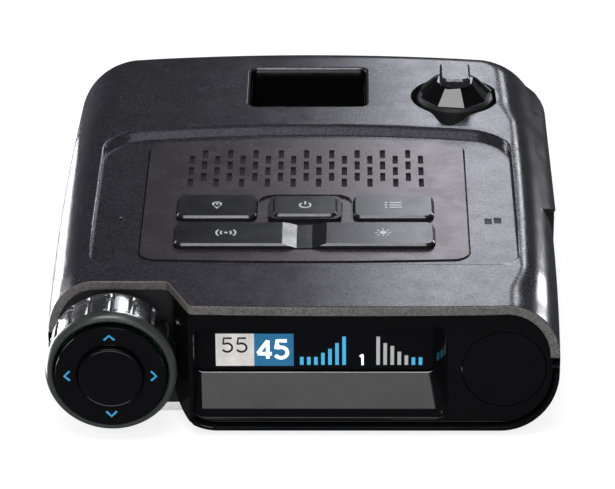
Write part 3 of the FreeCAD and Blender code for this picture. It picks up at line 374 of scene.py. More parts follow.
SLOT_MATERIALS = {
    "case_satin": CASE, "case_black": UNDER, "gloss_black": GLOSS, "panel_metal": PANEL, "key_satin": KEY,
    "knob_metal": KNOB, "bezel_satin": BEZEL, "smoked": SMOKED, "arrow_blue": ARROW,
    "clear": clear_glass("clear"),
    "display_glass": gloss("display_glass", (0.004, 0.004, 0.006)),
    "circuit_green": circuit_board("circuit_green"),
    "rubber_grey": textured("rubber_grey", (0.07, 0.07, 0.075), 0.7),
    "steel": cast_metal("steel", (0.55, 0.55, 0.56), 0.3),
    "diecast": cast_metal("diecast", (0.5, 0.5, 0.5), 0.5),
    "ceramic_tan": cast_metal("ceramic_tan", (0.5, 0.4, 0.28), 0.5, 0.0),
    "magnet_grey": cast_metal("magnet_grey", (0.12, 0.12, 0.13), 0.5, 0.8),
    "paper_black": textured("paper_black", (0.03, 0.03, 0.03), 0.85, 0.6),
    "foam_black": textured("foam_black", (0.03, 0.03, 0.03), 0.9, 0.5),
}


def dress_cad_nodes():
    """Gives every carried-over CAD node its slot's material and clean shading."""
    for part in frame["record"]["subparts"]:
        obj = frame["nodes"][part["node"]]
        obj.data.materials.clear()
        obj.data.materials.append(SENSOR if part["node"] == "light_sensor_windows"
                                  else SLOT_MATERIALS[part["material_slot"]])
        modifier = obj.modifiers.new("normals", "WEIGHTED_NORMAL")
        modifier.keep_sharp = True


# ---- housing outline

def side_x(y):
    """The right side's distance from the middle; the left side mirrors it."""
    return HALF_WIDE - SIDE_BULGE * ((y - WIDEST_AT) / WIDEST_AT) ** 2


def back_y(x):
    """The bowed windscreen side."""
    return LONG - BACK_SAG * (x / 45.0) ** 2


def corner_centre():
    """The centre of the arc that joins the side to the windscreen side."""
    cx = HALF_WIDE - SIDE_BULGE - CORNER
    cy = LONG - CORNER
    for _ in range(20):
        cy = back_y(cx + CORNER * 0.1) - CORNER
        cx = side_x(cy) - CORNER
    return cx, cy


def half_plan(y_start, y_step):
    """Plan points of one side: from the front, round the corner, to the middle of the back."""
    cx, cy = corner_centre()
    count = max(4, round((cy - y_start) / y_step))
    points = [(side_x(y), y) for y in steps(y_start, cy, count)][:-1]
    for angle in steps(1.0, 86.0, 26):
        turn = math.radians(angle)
        points.append((cx + CORNER * math.cos(turn), cy + CORNER * math.sin(turn)))
    last = points[-1][0]
    points.extend((x, back_y(x)) for x in steps(last, 0.0, 12)[1:])
    return points


def plan_stations(left_start, right_start):
    """(x, y, outward normal) all the way round, from the front left to the front right."""
    step = 1.3
    right = half_plan(right_start, step)
    left = [(-x, y) for x, y in half_plan(left_start, step)]
    line = left + right[-2::-1]
    stations = [(x, y, -dy, dx) for (x, y), (dx, dy) in zip(line, headings(line))]
    stations[0] = (*stations[0][:2], -1.0, 0.0)
    stations[-1] = (*stations[-1][:2], 1.0, 0.0)
    return stations


def pod_crease(y):
    """The height of the crease where the side pod leaves the roll."""
    return 28.7 - 2.9 * (y - SCOOP_TOP[0]) / 64.0


def pod_push(x, y, z):
    """How far the side pod stands out at a point of the right side."""
    crease = pod_crease(y)
    if x < 40 or z > crease or z < POD_FOOT:
        return 0.0
    reach = side_reach(y)
    rise = (crease - TALL + UPPER_DOWN) / UPPER_DOWN
    crease_x = HALF_WIDE - reach + reach * math.sqrt(max(0.0, 1 - rise ** 2))
    share = min(1.0, max(0.0, (z - 19.0) / (crease - 19.0)))
    target = POD_X - (POD_X - crease_x) * share ** 2.6
    slant = (SCOOP_REAR[0] - SCOOP_TOP[0]) / (SCOOP_TOP[1] - SCOOP_REAR[1])
    start = min(SCOOP_TOP[0] + (SCOOP_TOP[1] - z) * slant, SCOOP_REAR[0])
    along = smooth_step(start - 2.4, start - 0.6, y) * (1 - smooth_step(119.0, 127.5, y))
    low = smooth_step(POD_FOOT, 8.5, z)
    return max(0.0, target - x) * along * low


def toe(y):
    """How far the underside rises towards the front edge."""
    return TOE_TALL * max(0.0, 1 - y / TOE_LONG) ** 1.6


def lifted(y, z):
    """A height of the lower cover, squeezed upwards near the front."""
    return toe(y) + z * (PARTING - toe(y)) / PARTING


def side_reach(y):
    """The upper roll's reach inwards at the sides: widest in front, narrow beside the sunk field."""
    return 8.8 + 2.7 * (1 - smooth_step(6, 19, y)) + 2.0 * smooth_step(90, 102, y)


def between(back, side, nx):
    """Blends (reach inwards, reach downwards) from the windscreen side's values to the sides'."""
    share = abs(nx) ** 1.5
    return [a + (b - a) * share for a, b in zip(back, side)]


def rolled(station, angle, upper=True):
    """A point on the rolled edge: angle 0 is the upright side, 90 the flat."""
    x, y, nx, ny = station
    if upper:
        along, down = between((BACK_ROLL, BACK_ROLL), (side_reach(y), UPPER_DOWN), nx)
    else:
        along, down = between((11.0, 11.5), (LOWER_ALONG, LOWER_DOWN), nx)
    reach = along * (1 - math.cos(math.radians(angle)))
    drop = down * (1 - math.sin(math.radians(angle)))
    z = TALL - drop if upper else lifted(y, drop)
    px, py = x - nx * reach, y - ny * reach
    return (px + pod_push(px, py, z), py, z)


# ---- top cover

SUNK_FLOOR = TALL - 1.75
POCKET = (-14.2, 14.2, 99.4, 121.6)
TOWER = (34.8, 105.0)
DISH_FLOOR = 29.0
MIC_AT = (-41.1, 44.2)
SENSORS_AT = ((40.7, 43.0), (42.8, 43.4))


def panel_outline(grow):
    """The control panel's outline."""
    return bowed(36.0, 23.5, 84.8, 1.0, 2.7, 3.4, 3.4, grow)


def sunk_outline(grow_side, front, back, grow_round=0.0):
    return bowed(46.6 + grow_side, front, back, 0.4, 4.4, 5.0 + grow_round, 8.5 + grow_round)


def dish_radius(angle):
    """The turret dish's rim: a round with a lobe towards the driver."""
    lobe = math.radians(-97)
    delta = math.atan2(math.sin(angle - lobe), math.cos(angle - lobe))
    return 10.4 + 5.7 * math.exp(-(delta / 0.27) ** 2)


def dish_ring(inner_share, z):
    """A ring between the dish's rim (0) and the turret base (1)."""
    count = 96
    ring = []
    for i in range(count):
        angle = 2 * math.pi * i / count
        radius = dish_radius(angle) * (1 - inner_share) + 9.35 * inner_share
        ring.append((TOWER[0] + radius * math.cos(angle), TOWER[1] + radius * math.sin(angle), z))
    return ring


def lip_plan():
    """The front edge of the plateau from left to right, with each point's forward direction."""
    bow = 0.7
    right_end = side_x(0) - side_reach(0)
    corner_points = [(-HALF_WIDE + 11.6, SETBACK), (-30.4, SETBACK), (-29.5, SETBACK - 0.15),
                     (-28.8, SETBACK - 0.8), (-28.3, SETBACK - 1.9),
                     (-24.6, 1.0), (-24.2, 0.35), (-23.5, 0.0)]
    front_line = [(x, -bow * (1 - ((x - 11) / 35.0) ** 2)) for x in steps(-21.0, right_end, 24)]
    line = corner_points + front_line
    return [(x, y, dy, -dx) for (x, y), (dx, dy) in zip(line, headings(line))]


def lip_rows(stations, angles):
    """The ribbon of the front lip, as rows from the outer skin to the inner rim."""
    first, last = stations[0], stations[-1]
    path = []
    for angle in angles:
        x, _, z = rolled(first, angle)
        turn = math.radians(angle)
        path.append(((x, SETBACK, z), (0, -1), (-math.cos(turn), math.sin(turn))))
    for x, y, fx, fy in lip_plan()[1:-1]:
        path.append(((x, y, TALL), (fx, fy), (0.0, 1.0)))
    for angle in reversed(angles):
        x, _, z = rolled(last, angle)
        turn = math.radians(angle)
        path.append(((x, 0.0, z), (0, -1), (math.cos(turn), math.sin(turn))))
    section = ((-0.45, 0.0), (-0.2, 0.05), (-0.04, 0.2), (0.0, 0.45), (0.0, 1.95), (-0.15, 2.1), (-2.2, 2.1))
    rows = []
    for ahead_by, inset in section:
        rows.append([(x + fx * ahead_by - ox * inset, y + fy * ahead_by, z - oz * inset)
                     for (x, y, z), (fx, fy), (ox, oz) in path])
    return rows


# The numbers of the covers' materials: skin, lip, cut walls, turret dish, pocket walls.
SKIN_KIND, LIP_KIND, WALL_KIND, DISH_KIND, POCKET_KIND = range(5)


def slice_faces(work, faces, point, normal):
    """Splits some faces along a plane."""
    edges = dict.fromkeys(e for f in faces for e in f.edges)
    verts = dict.fromkeys(v for f in faces for v in f.verts)
    bmesh.ops.bisect_plane(work, geom=[*faces, *edges, *verts], plane_co=point, plane_no=normal, dist=1e-7)


def open_up(work, is_inside, sink):
    """Deletes the faces inside an outline and gives its rim walls; sink moves a wall's far point."""
    gone = [f for f in work.faces if is_inside(f.calc_center_median())]
    rim = dict.fromkeys(e for f in gone for e in f.edges
                        if any(not is_inside(g.calc_center_median()) for g in e.link_faces))
    bmesh.ops.delete(work, geom=gone, context="FACES")
    rim = [e for e in rim if e.is_valid and len(e.link_faces) == 1]
    for item in bmesh.ops.extrude_edge_only(work, edges=rim)["geom"]:
        if isinstance(item, bmesh.types.BMVert):
            sink(item.co)
        if isinstance(item, bmesh.types.BMFace):
            item.material_index = WALL_KIND


def cut_scoop(work):
    """Cuts the socket recess into the right side and gives it walls."""
    outline = [SCOOP_TOP, SCOOP_REAR, (SCOOP_REAR[0], SCOOP_LOW), (SCOOP_FRONT, SCOOP_LOW)]
    corners = [place(0, y, z) for y, z in outline]
    centre = sum(corners, Vector()) / len(corners)
    sides = [(a, Vector((1, 0, 0)).cross(b - a)) for a, b in zip(corners, corners[1:] + corners[:1])]
    for point, normal in sides:
        near = [f for f in work.faces if f.calc_center_median().x > 50 * MM
                and abs(f.calc_center_median().y - centre.y) < 16 * MM]
        slice_faces(work, near, point, normal.normalized())

    def is_inside(point):
        return point.x > 51 * MM and all(n.dot(point - a) * n.dot(centre - a) >= 0 for a, n in sides)

    def sink(point):
        point.x = 51.5 * MM
    open_up(work, is_inside, sink)


def cut_back_opening(work, x_low, x_high, z_low, z_high):
    """Cuts a rectangular opening into the windscreen side and gives it walls."""
    low, high = place(x_low, LONG - 17.0, z_low), place(x_high, LONG + 5.0, z_high)
    for normal, point in (((1, 0, 0), low), ((1, 0, 0), high), ((0, 0, 1), low), ((0, 0, 1), high)):
        near = [f for f in work.faces if f.calc_center_median().y > low.y
                and f.calc_center_median().z < high.z + 3 * MM]
        slice_faces(work, near, point, normal)

    def is_inside(point):
        return all(low[axis] < point[axis] < high[axis] for axis in range(3))

    def sink(point):
        point.y -= 1.6 * MM
    open_up(work, is_inside, sink)


def cut_openings(work):
    """The socket recess, the wide sensor window and the camera's opening."""
    cut_scoop(work)
    cut_back_opening(work, -29.0, 21.0, 9.0, 24.0)
    cut_back_opening(work, 28.1, 41.9, 8.45, 24.6)


def pocket_ring(grow, drop):
    """The mount pocket's outline, grown and at a depth below the cover."""
    return at_level(rounded_rect(*POCKET, 2.1, grow), TALL - drop)


def parting_rows(foot, stations, level):
    """The inner lip and the fine step at the parting line, as two rows."""
    return [[(x - nx * inset, y - ny * inset, level) for (x, y, _), (_, _, nx, ny) in zip(foot, stations)]
            for inset in (1.8, 0.12)]


def make_top_cover():
    """The upper skin: rolled edges, front lip, sunk field, mount pocket, turret dish and openings."""
    shape = Shape()
    angles = steps(0.0, 90.0, 14)
    stations = plan_stations(SETBACK + 0.45, 0.45)
    foot = [rolled(s, 0.0) for s in stations]
    rows = parting_rows(foot, stations, PARTING + 0.12)
    rows.append([(x, y, PARTING + 0.3) for x, y, _ in foot])
    rows += [[rolled(s, a) for s in stations] for a in angles]
    rings = shape.loft(rows, closed=False)
    plateau = rings[-1]
    # The lip's ribbon starts on the skin's own front edges.
    ribbon = [shape.ring(row) for row in lip_rows(stations, angles)]
    for index, (a, b) in enumerate(zip(ribbon, ribbon[1:])):
        shape.bridge(a, b, closed=False, kind=LIP_KIND if index > 0 else SKIN_KIND)
    count = len(angles)
    lip_edge = ribbon[0][count:-count]
    upper = sunk_outline(0.4, 18.9, 89.8, 0.4)
    middle = sunk_outline(0.08, 19.25, 89.5)
    lower = sunk_outline(0.0, 19.45, 86.8, -0.3)
    slope = [at_level(upper, TALL), at_level(sunk_outline(0.2, 19.1, 89.6, 0.15), TALL - 0.10)]
    for i in range(0, 9):
        t = i / 8
        drop = 0.32 + (TALL - SUNK_FLOOR - 0.32) * (t * 0.6 + 0.4 * smooth_step(0, 1, t))
        slope.append([(ax + (bx - ax) * t, ay + (by - ay) * t, TALL - drop)
                      for (ax, ay), (bx, by) in zip(middle, lower)])
    sunk = shape.loft(slope)
    pocket = shape.loft([pocket_ring(*row) for row in ((0.25, 0.0), (0.06, 0.06), (-0.1, 0.2), (-0.38, 0.5))])
    shape.loft([pocket_ring(*row) for row in ((-0.38, 0.5), (-0.45, 0.7), (-0.85, 2.4))], kind=POCKET_KIND)
    dish_rows = [dish_ring(-0.035, TALL), dish_ring(-0.01, TALL - 0.08), dish_ring(0.02, TALL - 0.3)]
    for t in steps(0.1, 1.0, 8):
        drop = (TALL - 0.3 - DISH_FLOOR) * math.sin(t * math.pi / 2)
        dish_rows.append(dish_ring(0.04 + 0.96 * t, TALL - 0.3 - drop))
    dish = [shape.ring(row) for row in dish_rows]
    for index, (a, b) in enumerate(zip(dish, dish[1:])):
        shape.bridge(a, b, kind=SKIN_KIND if index < 2 else DISH_KIND)
    shape.fill(plateau + lip_edge[::-1], [sunk[0], pocket[0], dish[0]])
    opening = shape.loft([at_level(panel_outline(grow), SUNK_FLOOR - drop)
                          for grow, drop in ((0.42, 0.0), (0.28, 0.12), (0.25, 2.0))])
    mic = shape.loft([at_level(circle(*MIC_AT, radius, 24), SUNK_FLOOR - drop)
                      for radius, drop in ((1.0, 0.0), (0.9, 0.1), (0.9, 2.0))])
    holes = [opening[0], mic[0]]
    for x, y in SENSORS_AT:
        outline = (x - 0.7, x + 0.7, y - 1.35, y + 1.35)
        sensor = shape.loft([at_level(rounded_rect(*outline, 0.1, grow, 2), SUNK_FLOOR - drop)
                             for grow, drop in ((0.1, 0.0), (0.0, 0.1), (0.0, 1.8))])
        holes.append(sensor[0])
    shape.fill(sunk[-1], holes)
    shape.build("top_cover_shell", [CASE, LIP, UNDER, DISH, GLOSS], "housing", ["top_cover"],
                after=cut_openings)


# ---- bottom cover

CHEEK_X, CHEEK_Z, CHEEK_RAD = -18.5, 9.6, 9.6


def flank_x(y):
    """The slanted side of the dial's notch."""
    return -23.8 - 5.8 * min(1.0, max(0.0, y) / SETBACK)


def cheek_row(y, inset=0.0):
    """The rounded lower left corner beside the dial, from the flank to the flat."""
    radius = CHEEK_RAD - inset
    x_end = max(CHEEK_X - radius + 0.05, flank_x(y) + 0.25)
    angle_end = math.degrees(math.acos((CHEEK_X - x_end) / radius))
    row = []
    for angle in steps(180 + angle_end, 270, 14):
        x = CHEEK_X + radius * math.cos(math.radians(angle))
        z = CHEEK_Z + radius * math.sin(math.radians(angle))
        row.append((x, y, lifted(y, z)))
    return row


def make_bottom_cover():
    """The lower skin: rolled edges, the toe in front, the cheek beside the dial and the flat."""
    shape = Shape()
    angles = steps(0.0, 90.0, 16)
    stations = plan_stations(SETBACK + 0.3, 0.2)
    top = [rolled(s, 0.0, upper=False) for s in stations]
    rows = parting_rows(top, stations, PARTING - 0.06)
    rows.append([(x + pod_push(x, y, PARTING - 0.25), y, PARTING - 0.25) for x, y, _ in top])
    rows += [[rolled(s, a, upper=False) for s in stations] for a in angles[1:]]
    rings = shape.loft(rows, closed=False)
    foot = rings[-1]
    first_flat = next(i for i in range(len(foot) - 1, 0, -1) if stations[i][1] > TOE_LONG)
    right_edge = foot[first_flat:]
    # The underside between the front edge and the flat: one row for each station at the right.
    toe_rows = []
    for i in right_edge:
        x_right, y_right = rows[-1][i - foot[0]][:2]
        cheek = cheek_row(y_right)
        flat = [(x, y_right, toe(y_right)) for x in steps(CHEEK_X, x_right, 12)[1:-1]]
        toe_rows.append(shape.ring(cheek + flat) + [i])
    for a, b in zip(toe_rows, toe_rows[1:]):
        shape.bridge(a, b, closed=False)
    back_rows = [toe_rows[0]]
    for y in (8.5, 10.0, SETBACK + 0.3):
        back_rows.append(shape.ring(cheek_row(y)))
    for a, b in zip(back_rows, back_rows[1:]):
        shape.bridge(a[:len(b)], b, closed=False)
    # The flat underside, whose left side is the seam along the cheek.
    cheek_count = len(back_rows[-1])
    seam = [row[cheek_count - 1] for row in back_rows]
    shape.fill(foot[:first_flat + 1] + toe_rows[0][cheek_count:-1][::-1] + seam)
    shape.build("bottom_cover_shell", [UNDER] * 3, "housing", ["bottom_cover"],
                after=cut_openings)


# ---- front

FASCIA_SET = 1.5
VIEW = (-23.3, 31.0, 4.0, 26.0)
GLASS = (-22.8, 28.0, 12.0, 25.0)
GLASS_AT = 7.0
EYE = (43.0, 15.9)
EYE_RAD = 9.0


def front_outline(inset, y):
    """The front's closed outline as (x, z), set in from the covers' edge."""
    side = side_x(0)
    points = []
    up_x, up_z = side_reach(0), UPPER_DOWN
    low_x, low_z = LOWER_ALONG, LOWER_DOWN * (PARTING - toe(y)) / PARTING
    for angle in steps(90, 0, 18):
        points.append((side - up_x + (up_x - inset) * math.cos(math.radians(angle)),
                       TALL - up_z + (up_z - inset) * math.sin(math.radians(angle))))
    for angle in steps(0, -90, 18):
        points.append((side - low_x + (low_x - inset) * math.cos(math.radians(angle)),
                       toe(y) + low_z + (low_z - inset) * math.sin(math.radians(angle))))
    cheek = [(x, max(z, toe(y) + inset)) for x, _, z in cheek_row(y, inset)[::-1]]
    points.extend(cheek)
    left = cheek[-1][0]
    top = TALL - inset
    points.extend([(left, 24.0), (left, top - 1.2), (left + 0.35, top - 0.35), (left + 1.2, top)])
    return points


def make_cover_rim():
    """The bottom cover's front edge: a thin gloss lip round the fascia."""
    shape = Shape()
    rows = []
    outer = front_outline(0.0, 0.0)
    start = next(i for i, (x, z) in enumerate(outer) if z < PARTING - 0.1 and x > 40)
    stop = len(outer) - 4
    section = ((0.0, 0.25), (0.03, 0.08), (0.15, 0.0), (0.75, 0.0), (0.9, 0.1), (0.95, 0.3), (0.95, 4.0))
    for inset, y in section:
        rows.append([(x, y, z) for x, z in front_outline(inset, 0.0)[start:stop]])
    shape.loft(rows, closed=False)
    shape.build("bottom_cover_rim", [GLOSS], "housing")


def display_ring(share, grow=0.0):
    """The display recess at a share of the way back, as (x, z)."""
    limits = [a + (b - a) * share for a, b in zip(VIEW, GLASS)]
    radius = 2.5 + (1.2 - 2.5) * share
    return rounded_rect(*limits, radius, grow, 6, 4)


def make_fascia():
    """The gloss front with the display recess and the round window's seat."""
    shape = Shape()
    edge = ((1.25, 6.0), (1.25, FASCIA_SET + 0.35), (1.35, FASCIA_SET + 0.1), (1.6, FASCIA_SET))
    outline = [shape.ring([(x, y, z) for x, z in front_outline(inset, 0.0)]) for inset, y in edge]
    for a, b in zip(outline, outline[1:]):
        shape.bridge(a, b)
    rows = [[(x, FASCIA_SET, z) for x, z in display_ring(0.0, 0.45)],
            [(x, FASCIA_SET + 0.12, z) for x, z in display_ring(0.0, 0.14)],
            [(x, FASCIA_SET + 0.45, z) for x, z in display_ring(0.02)]]
    for share in steps(0.1, 1.0, 9):
        rows.append([(x, FASCIA_SET + (GLASS_AT - FASCIA_SET) * share, z) for x, z in display_ring(share)])
    funnel = shape.loft(rows)
    eye = shape.loft([[(x, FASCIA_SET, z) for x, z in circle(*EYE, EYE_RAD + 0.1, 72)],
                      [(x, FASCIA_SET + 1.2, z) for x, z in circle(*EYE, EYE_RAD + 0.06, 72)]])
    shape.fill(outline[-1], [funnel[0], eye[0]])
    shape.build("fascia_plate", [GLOSS], "housing", ["front_fascia", "display_shroud"],
                angle=40)


def make_flank():
    """The fascia's wall that runs back beside the dial."""
    shape = Shape()
    rows = []
    for y in steps(FASCIA_SET + 0.35, SETBACK + 0.6, 10):
        end = cheek_row(y)[0]
        rows.append([(end[0] + 0.05, y, z) for z in steps(end[2] - 0.3, TALL - 2.0, 12)])
    back = [[(x + 1.0, y, z) for x, y, z in row] for row in rows[::-1]]
    rings = shape.loft(rows + back, closed=False)
    shape.bridge(rings[-1], rings[0], closed=False)
    shape.build("fascia_flank", [GLOSS], "housing")


def make_eye():
    """The rear sensor's dished window, with a soft edge."""
    shape = Shape()
    rows = []
    for radius in (EYE_RAD + 0.02, EYE_RAD - 0.1, *steps(EYE_RAD - 0.5, 0.4, 18)):
        share = radius / EYE_RAD
        deep = 1.1 * (1 - share ** 2) ** 1.2 if share < 1 else 0.0
        level = FASCIA_SET + deep + (0.3 if share > 1 else 0.0)
        rows.append([(x, level, z) for x, z in circle(*EYE, radius, 72)])
    rings = shape.loft(rows)
    shape.fill(rings[-1])
    back = shape.ring([(x, FASCIA_SET + 2.4, z) for x, z in circle(*EYE, EYE_RAD + 0.02, 72)])
    shape.bridge(rings[0], back)
    shape.build("rear_window_dish", [GLOSS], "housing", ["rear_sensor_window"])


# ---- display content

def flat_front(shape, outline, y, kind):
    """A flat piece facing the driver; the outline is (x, z)."""
    front = shape.ring([(x, y, z) for x, z in outline])
    back = shape.ring([(x, y + 0.12, z) for x, z in outline])
    shape.fill(front, kind=kind)
    shape.fill(back[::-1], kind=kind)
    shape.bridge(front, back, kind=kind)


def box_outline(x_low, x_high, z_low, z_high):
    return [(x_low, z_low), (x_high, z_low), (x_high, z_high), (x_low, z_high)]


def stroke(points, width):
    """A line of constant width through the points, with mitred turns, as a closed outline."""
    left, right = [], []
    for (x, z), (dx, dz) in zip(points, headings(points)):
        left.append((x - dz * width / 2, z + dx * width / 2))
        right.append((x + dz * width / 2, z - dx * width / 2))
    return left + right[::-1]


def arc_points(cx, cz, rx, rz, start, stop, count):
    return [(cx + rx * math.cos(math.radians(a)), cz + rz * math.sin(math.radians(a)))
            for a in steps(start, stop, count)]


def digit_lines(digit):
    """Centre lines of a digit in a box one unit wide and 1.45 tall."""
    if digit == 5:
        belly = arc_points(0.48, 0.47, 0.44, 0.42, 118, -150, 16)
        return [[(0.88, 1.40), (0.20, 1.40), (0.13, 0.80)] + belly]
    if digit == 4:
        return [[(0.72, 0.0), (0.72, 1.42)], [(0.72, 1.40), (0.04, 0.42)], [(0.02, 0.38), (1.0, 0.38)]]
    return [[(0.52, 0.0), (0.52, 1.42)], [(0.54, 1.38), (0.22, 1.12)]]


def draw_digit(shape, digit, x, z, tall, weight, y, kind):
    unit = tall / 1.45
    for line in digit_lines(digit):
        points = [(x + px * unit, z + pz * unit) for px, pz in line]
        flat_front(shape, stroke(points, weight), y, kind)


SCREEN_LEFT = -18.9
SCREEN_LOW, SCREEN_HIGH = 13.35, 21.2


GREY, BLUE, CYAN, WHITE, DIM, INK = range(6)
BAR_PITCH, BAR_WIDE = 1.52, 0.78


def draw_bars(shape, left, heights, y, kinds):
    """A row of upright bars that stand on the picture's lower edge."""
    low = SCREEN_LOW + 0.25
    for index, (tall, kind) in enumerate(zip(heights, kinds)):
        start = left + index * BAR_PITCH
        flat_front(shape, box_outline(start, start + BAR_WIDE, low, low + tall), y, kind)


def make_screen():
    """The lit picture, and the dark sheet behind it."""
    shape = Shape()
    y = GLASS_AT + 0.5
    first, second = -10.6, -2.1
    flat_front(shape, box_outline(SCREEN_LEFT, first, SCREEN_LOW, SCREEN_HIGH), y, GREY)
    flat_front(shape, box_outline(first, second, SCREEN_LOW, SCREEN_HIGH), y, BLUE)
    for x in (-17.6, -14.5):
        draw_digit(shape, 5, x, 16.7, 3.6, 0.42, y - 0.12, INK)
    draw_digit(shape, 4, -9.9, 15.2, 4.5, 0.78, y - 0.12, WHITE)
    draw_digit(shape, 5, -6.3, 15.2, 4.5, 0.78, y - 0.12, WHITE)
    draw_bars(shape, -0.75, (1.9, 1.9, 1.9, 2.9, 3.9, 5.3, 6.9), y, [CYAN] * 7)
    draw_digit(shape, 1, 11.8, SCREEN_LOW + 0.2, 2.6, 0.5, y, WHITE)
    draw_bars(shape, 15.7, (6.9, 5.3, 4.6, 3.2, 2.3, 1.8, 1.8), y, [DIM] * 5 + [CYAN] * 2)
    paints = [SCREEN_GREY, SCREEN_BLUE, SCREEN_CYAN, SCREEN_WHITE, SCREEN_DIM, SCREEN_INK]
    shape.build("display_image", paints, "housing", weighted=False)
    back = Shape()
    loops = back.loft([[(x, GLASS_AT + deep, z) for x, z in rounded_rect(*GLASS, 1.2, 0.3)]
                       for deep in (0.75, 1.7)])
    back.fill(loops[0])
    back.fill(loops[1][::-1])
    back.build("display_backing", [SLOT_MATERIALS["display_glass"]], "housing",
               ["display_screen", "display_window"])


# ---- panel marks

KEY_TOP = 31.7
KEY_ROW, BAR_ROW = 48.2, 34.7
SIGN_SIZE = 1.22


def mark(shape, cx, cy, outlines):
    """Flat printed shapes on a key's top; each outline is (x, y) about the key's centre."""
    for outline in outlines:
        top = shape.ring([(cx + SIGN_SIZE * x, cy + SIGN_SIZE * y, KEY_TOP + 0.05) for x, y in outline])
        foot = shape.ring([(cx + SIGN_SIZE * x, cy + SIGN_SIZE * y, KEY_TOP - 0.06) for x, y in outline])
        shape.fill(top)
        shape.bridge(top, foot)


def make_legends():
    """Plain signs on the keys: a pin, power, a list, waves and a sun."""
    pin = [stroke(arc_points(0, 0.45, 0.75, 0.75, -35, 215, 18), 0.32),
           [(-0.75, -0.02), (0, -1.5), (0.75, -0.02), (0, -0.9)], circle(0, 0.45, 0.26, 12)]
    power = [stroke(arc_points(0, 0, 1.0, 1.0, -230, 50, 22), 0.34), stroke([(0, 0.3), (0, 1.5)], 0.34)]
    listing = [stroke([(-0.7, z), (1.5, z)], 0.36) for z in (-0.95, 0.0, 0.95)]
    listing += [circle(-1.35, z, 0.24, 12) for z in (-0.95, 0.0, 0.95)]
    waves = [circle(0, 0, 0.32, 14)]
    for radius in (0.95, 1.75):
        waves += [stroke(arc_points(0, 0, radius, radius, a, a + 80, 8), 0.3) for a in (-40, 140)]
    sun = [circle(0, 0, 0.62, 20)]
    for turn in range(8):
        x, y = math.cos(math.pi * turn / 4), math.sin(math.pi * turn / 4)
        sun.append(stroke([(0.95 * x, 0.95 * y), (1.45 * x, 1.45 * y)], 0.26))
    keys = (("marker_sign", "marker_key", -19.7, pin), ("power_sign", "power_key", 0.0, power),
            ("program_sign", "program_key", 19.7, listing))
    for name, body, x, outlines in keys:
        shape = Shape()
        mark(shape, x, KEY_ROW, outlines)
        # The signs' white ink carries a painted glow.
        shape.build(name, [WHITE_INK_PAINTED_GLOW], body, weighted=False)
    shape = Shape()
    mark(shape, -17.3, BAR_ROW, waves)
    mark(shape, 17.3, BAR_ROW, sun)
    shape.build("rocker_signs", [WHITE_INK_PAINTED_GLOW], "rocker", weighted=False)


SLOT_COLUMNS, SLOT_ROWS = 19, 3
SLOT_PITCH, SLOT_STEP, FIRST_SLOT = 2.91, 5.93, 61.8


def make_slot_floors():
    """The dark cloth that shows in each speaker slot."""
    shape = Shape()
    for column in range(SLOT_COLUMNS):
        for row in range(SLOT_ROWS):
            x = (column - SLOT_COLUMNS // 2) * SLOT_PITCH
            y = FIRST_SLOT + row * SLOT_STEP + (SLOT_STEP / 2 if column % 2 else 0.0)
            outline = rounded_rect(x - 0.6, x + 0.6, y - 2.1, y + 2.1, 0.05, 0.0, 1)
            rings = shape.loft([at_level(outline, 29.2), at_level(outline, 29.95)])
            shape.fill(rings[1])
            shape.fill(rings[0])
    shape.build("speaker_cloth", [SLOT_CLOTH], "housing", weighted=False)


# ---- dial

DIAL = (-41.0, 16.6)
BEZEL_BORE, BAND_RAD, MUTE_RAD, MUTE_FACE = 12.45, 13.65, 6.9, -4.08
GROOVES, GROOVE_DEEP, GROOVE_HALF = 18, 0.62, 0.85
GROOVE_FROM, GROOVE_TO = 2.1, 7.9


def revolve(shape, profile, count=128, closed=False):
    """Turns (radius, y) points about the dial's axis."""
    rings = [shape.ring([(x, y, z) for x, z in circle(*DIAL, radius, count)]) for radius, y in profile]
    pairs = list(zip(rings, rings[1:]))
    if closed:
        pairs.append((rings[-1], rings[0]))
    for a, b in pairs:
        shape.bridge(a, b)
    return rings


def make_bezel():
    """The rounded ring round the direction pad."""
    profile = [(BEZEL_BORE, 0.6), (BEZEL_BORE, -1.55), (12.5, -1.74), (12.66, -1.86), (12.8, -1.92)]
    for angle in steps(8, 90, 10):
        turn = math.radians(angle)
        profile.append((12.75 + 1.35 * math.sin(turn), -0.2 - 1.75 * math.cos(turn)))
    profile += [(14.05, 0.1), (13.9, 0.3), (13.6, 0.38)]
    shape = Shape()
    revolve(shape, profile, closed=True)
    shape.build("dial_bezel_ring", [BEZEL], "dial", ["dial_bezel"])


def groove_depth(angle, y):
    """The depth of the band's capsule grooves."""
    pitch = 2 * math.pi / GROOVES
    across = (((angle / pitch) + 0.5) % 1.0 - 0.5) * pitch * BAND_RAD
    if y < GROOVE_FROM:
        across = math.hypot(across, GROOVE_FROM - y)
    if y > GROOVE_TO:
        across = math.hypot(across, y - GROOVE_TO)
    return GROOVE_DEEP * math.sqrt(max(0.0, 1 - (across / GROOVE_HALF) ** 2))


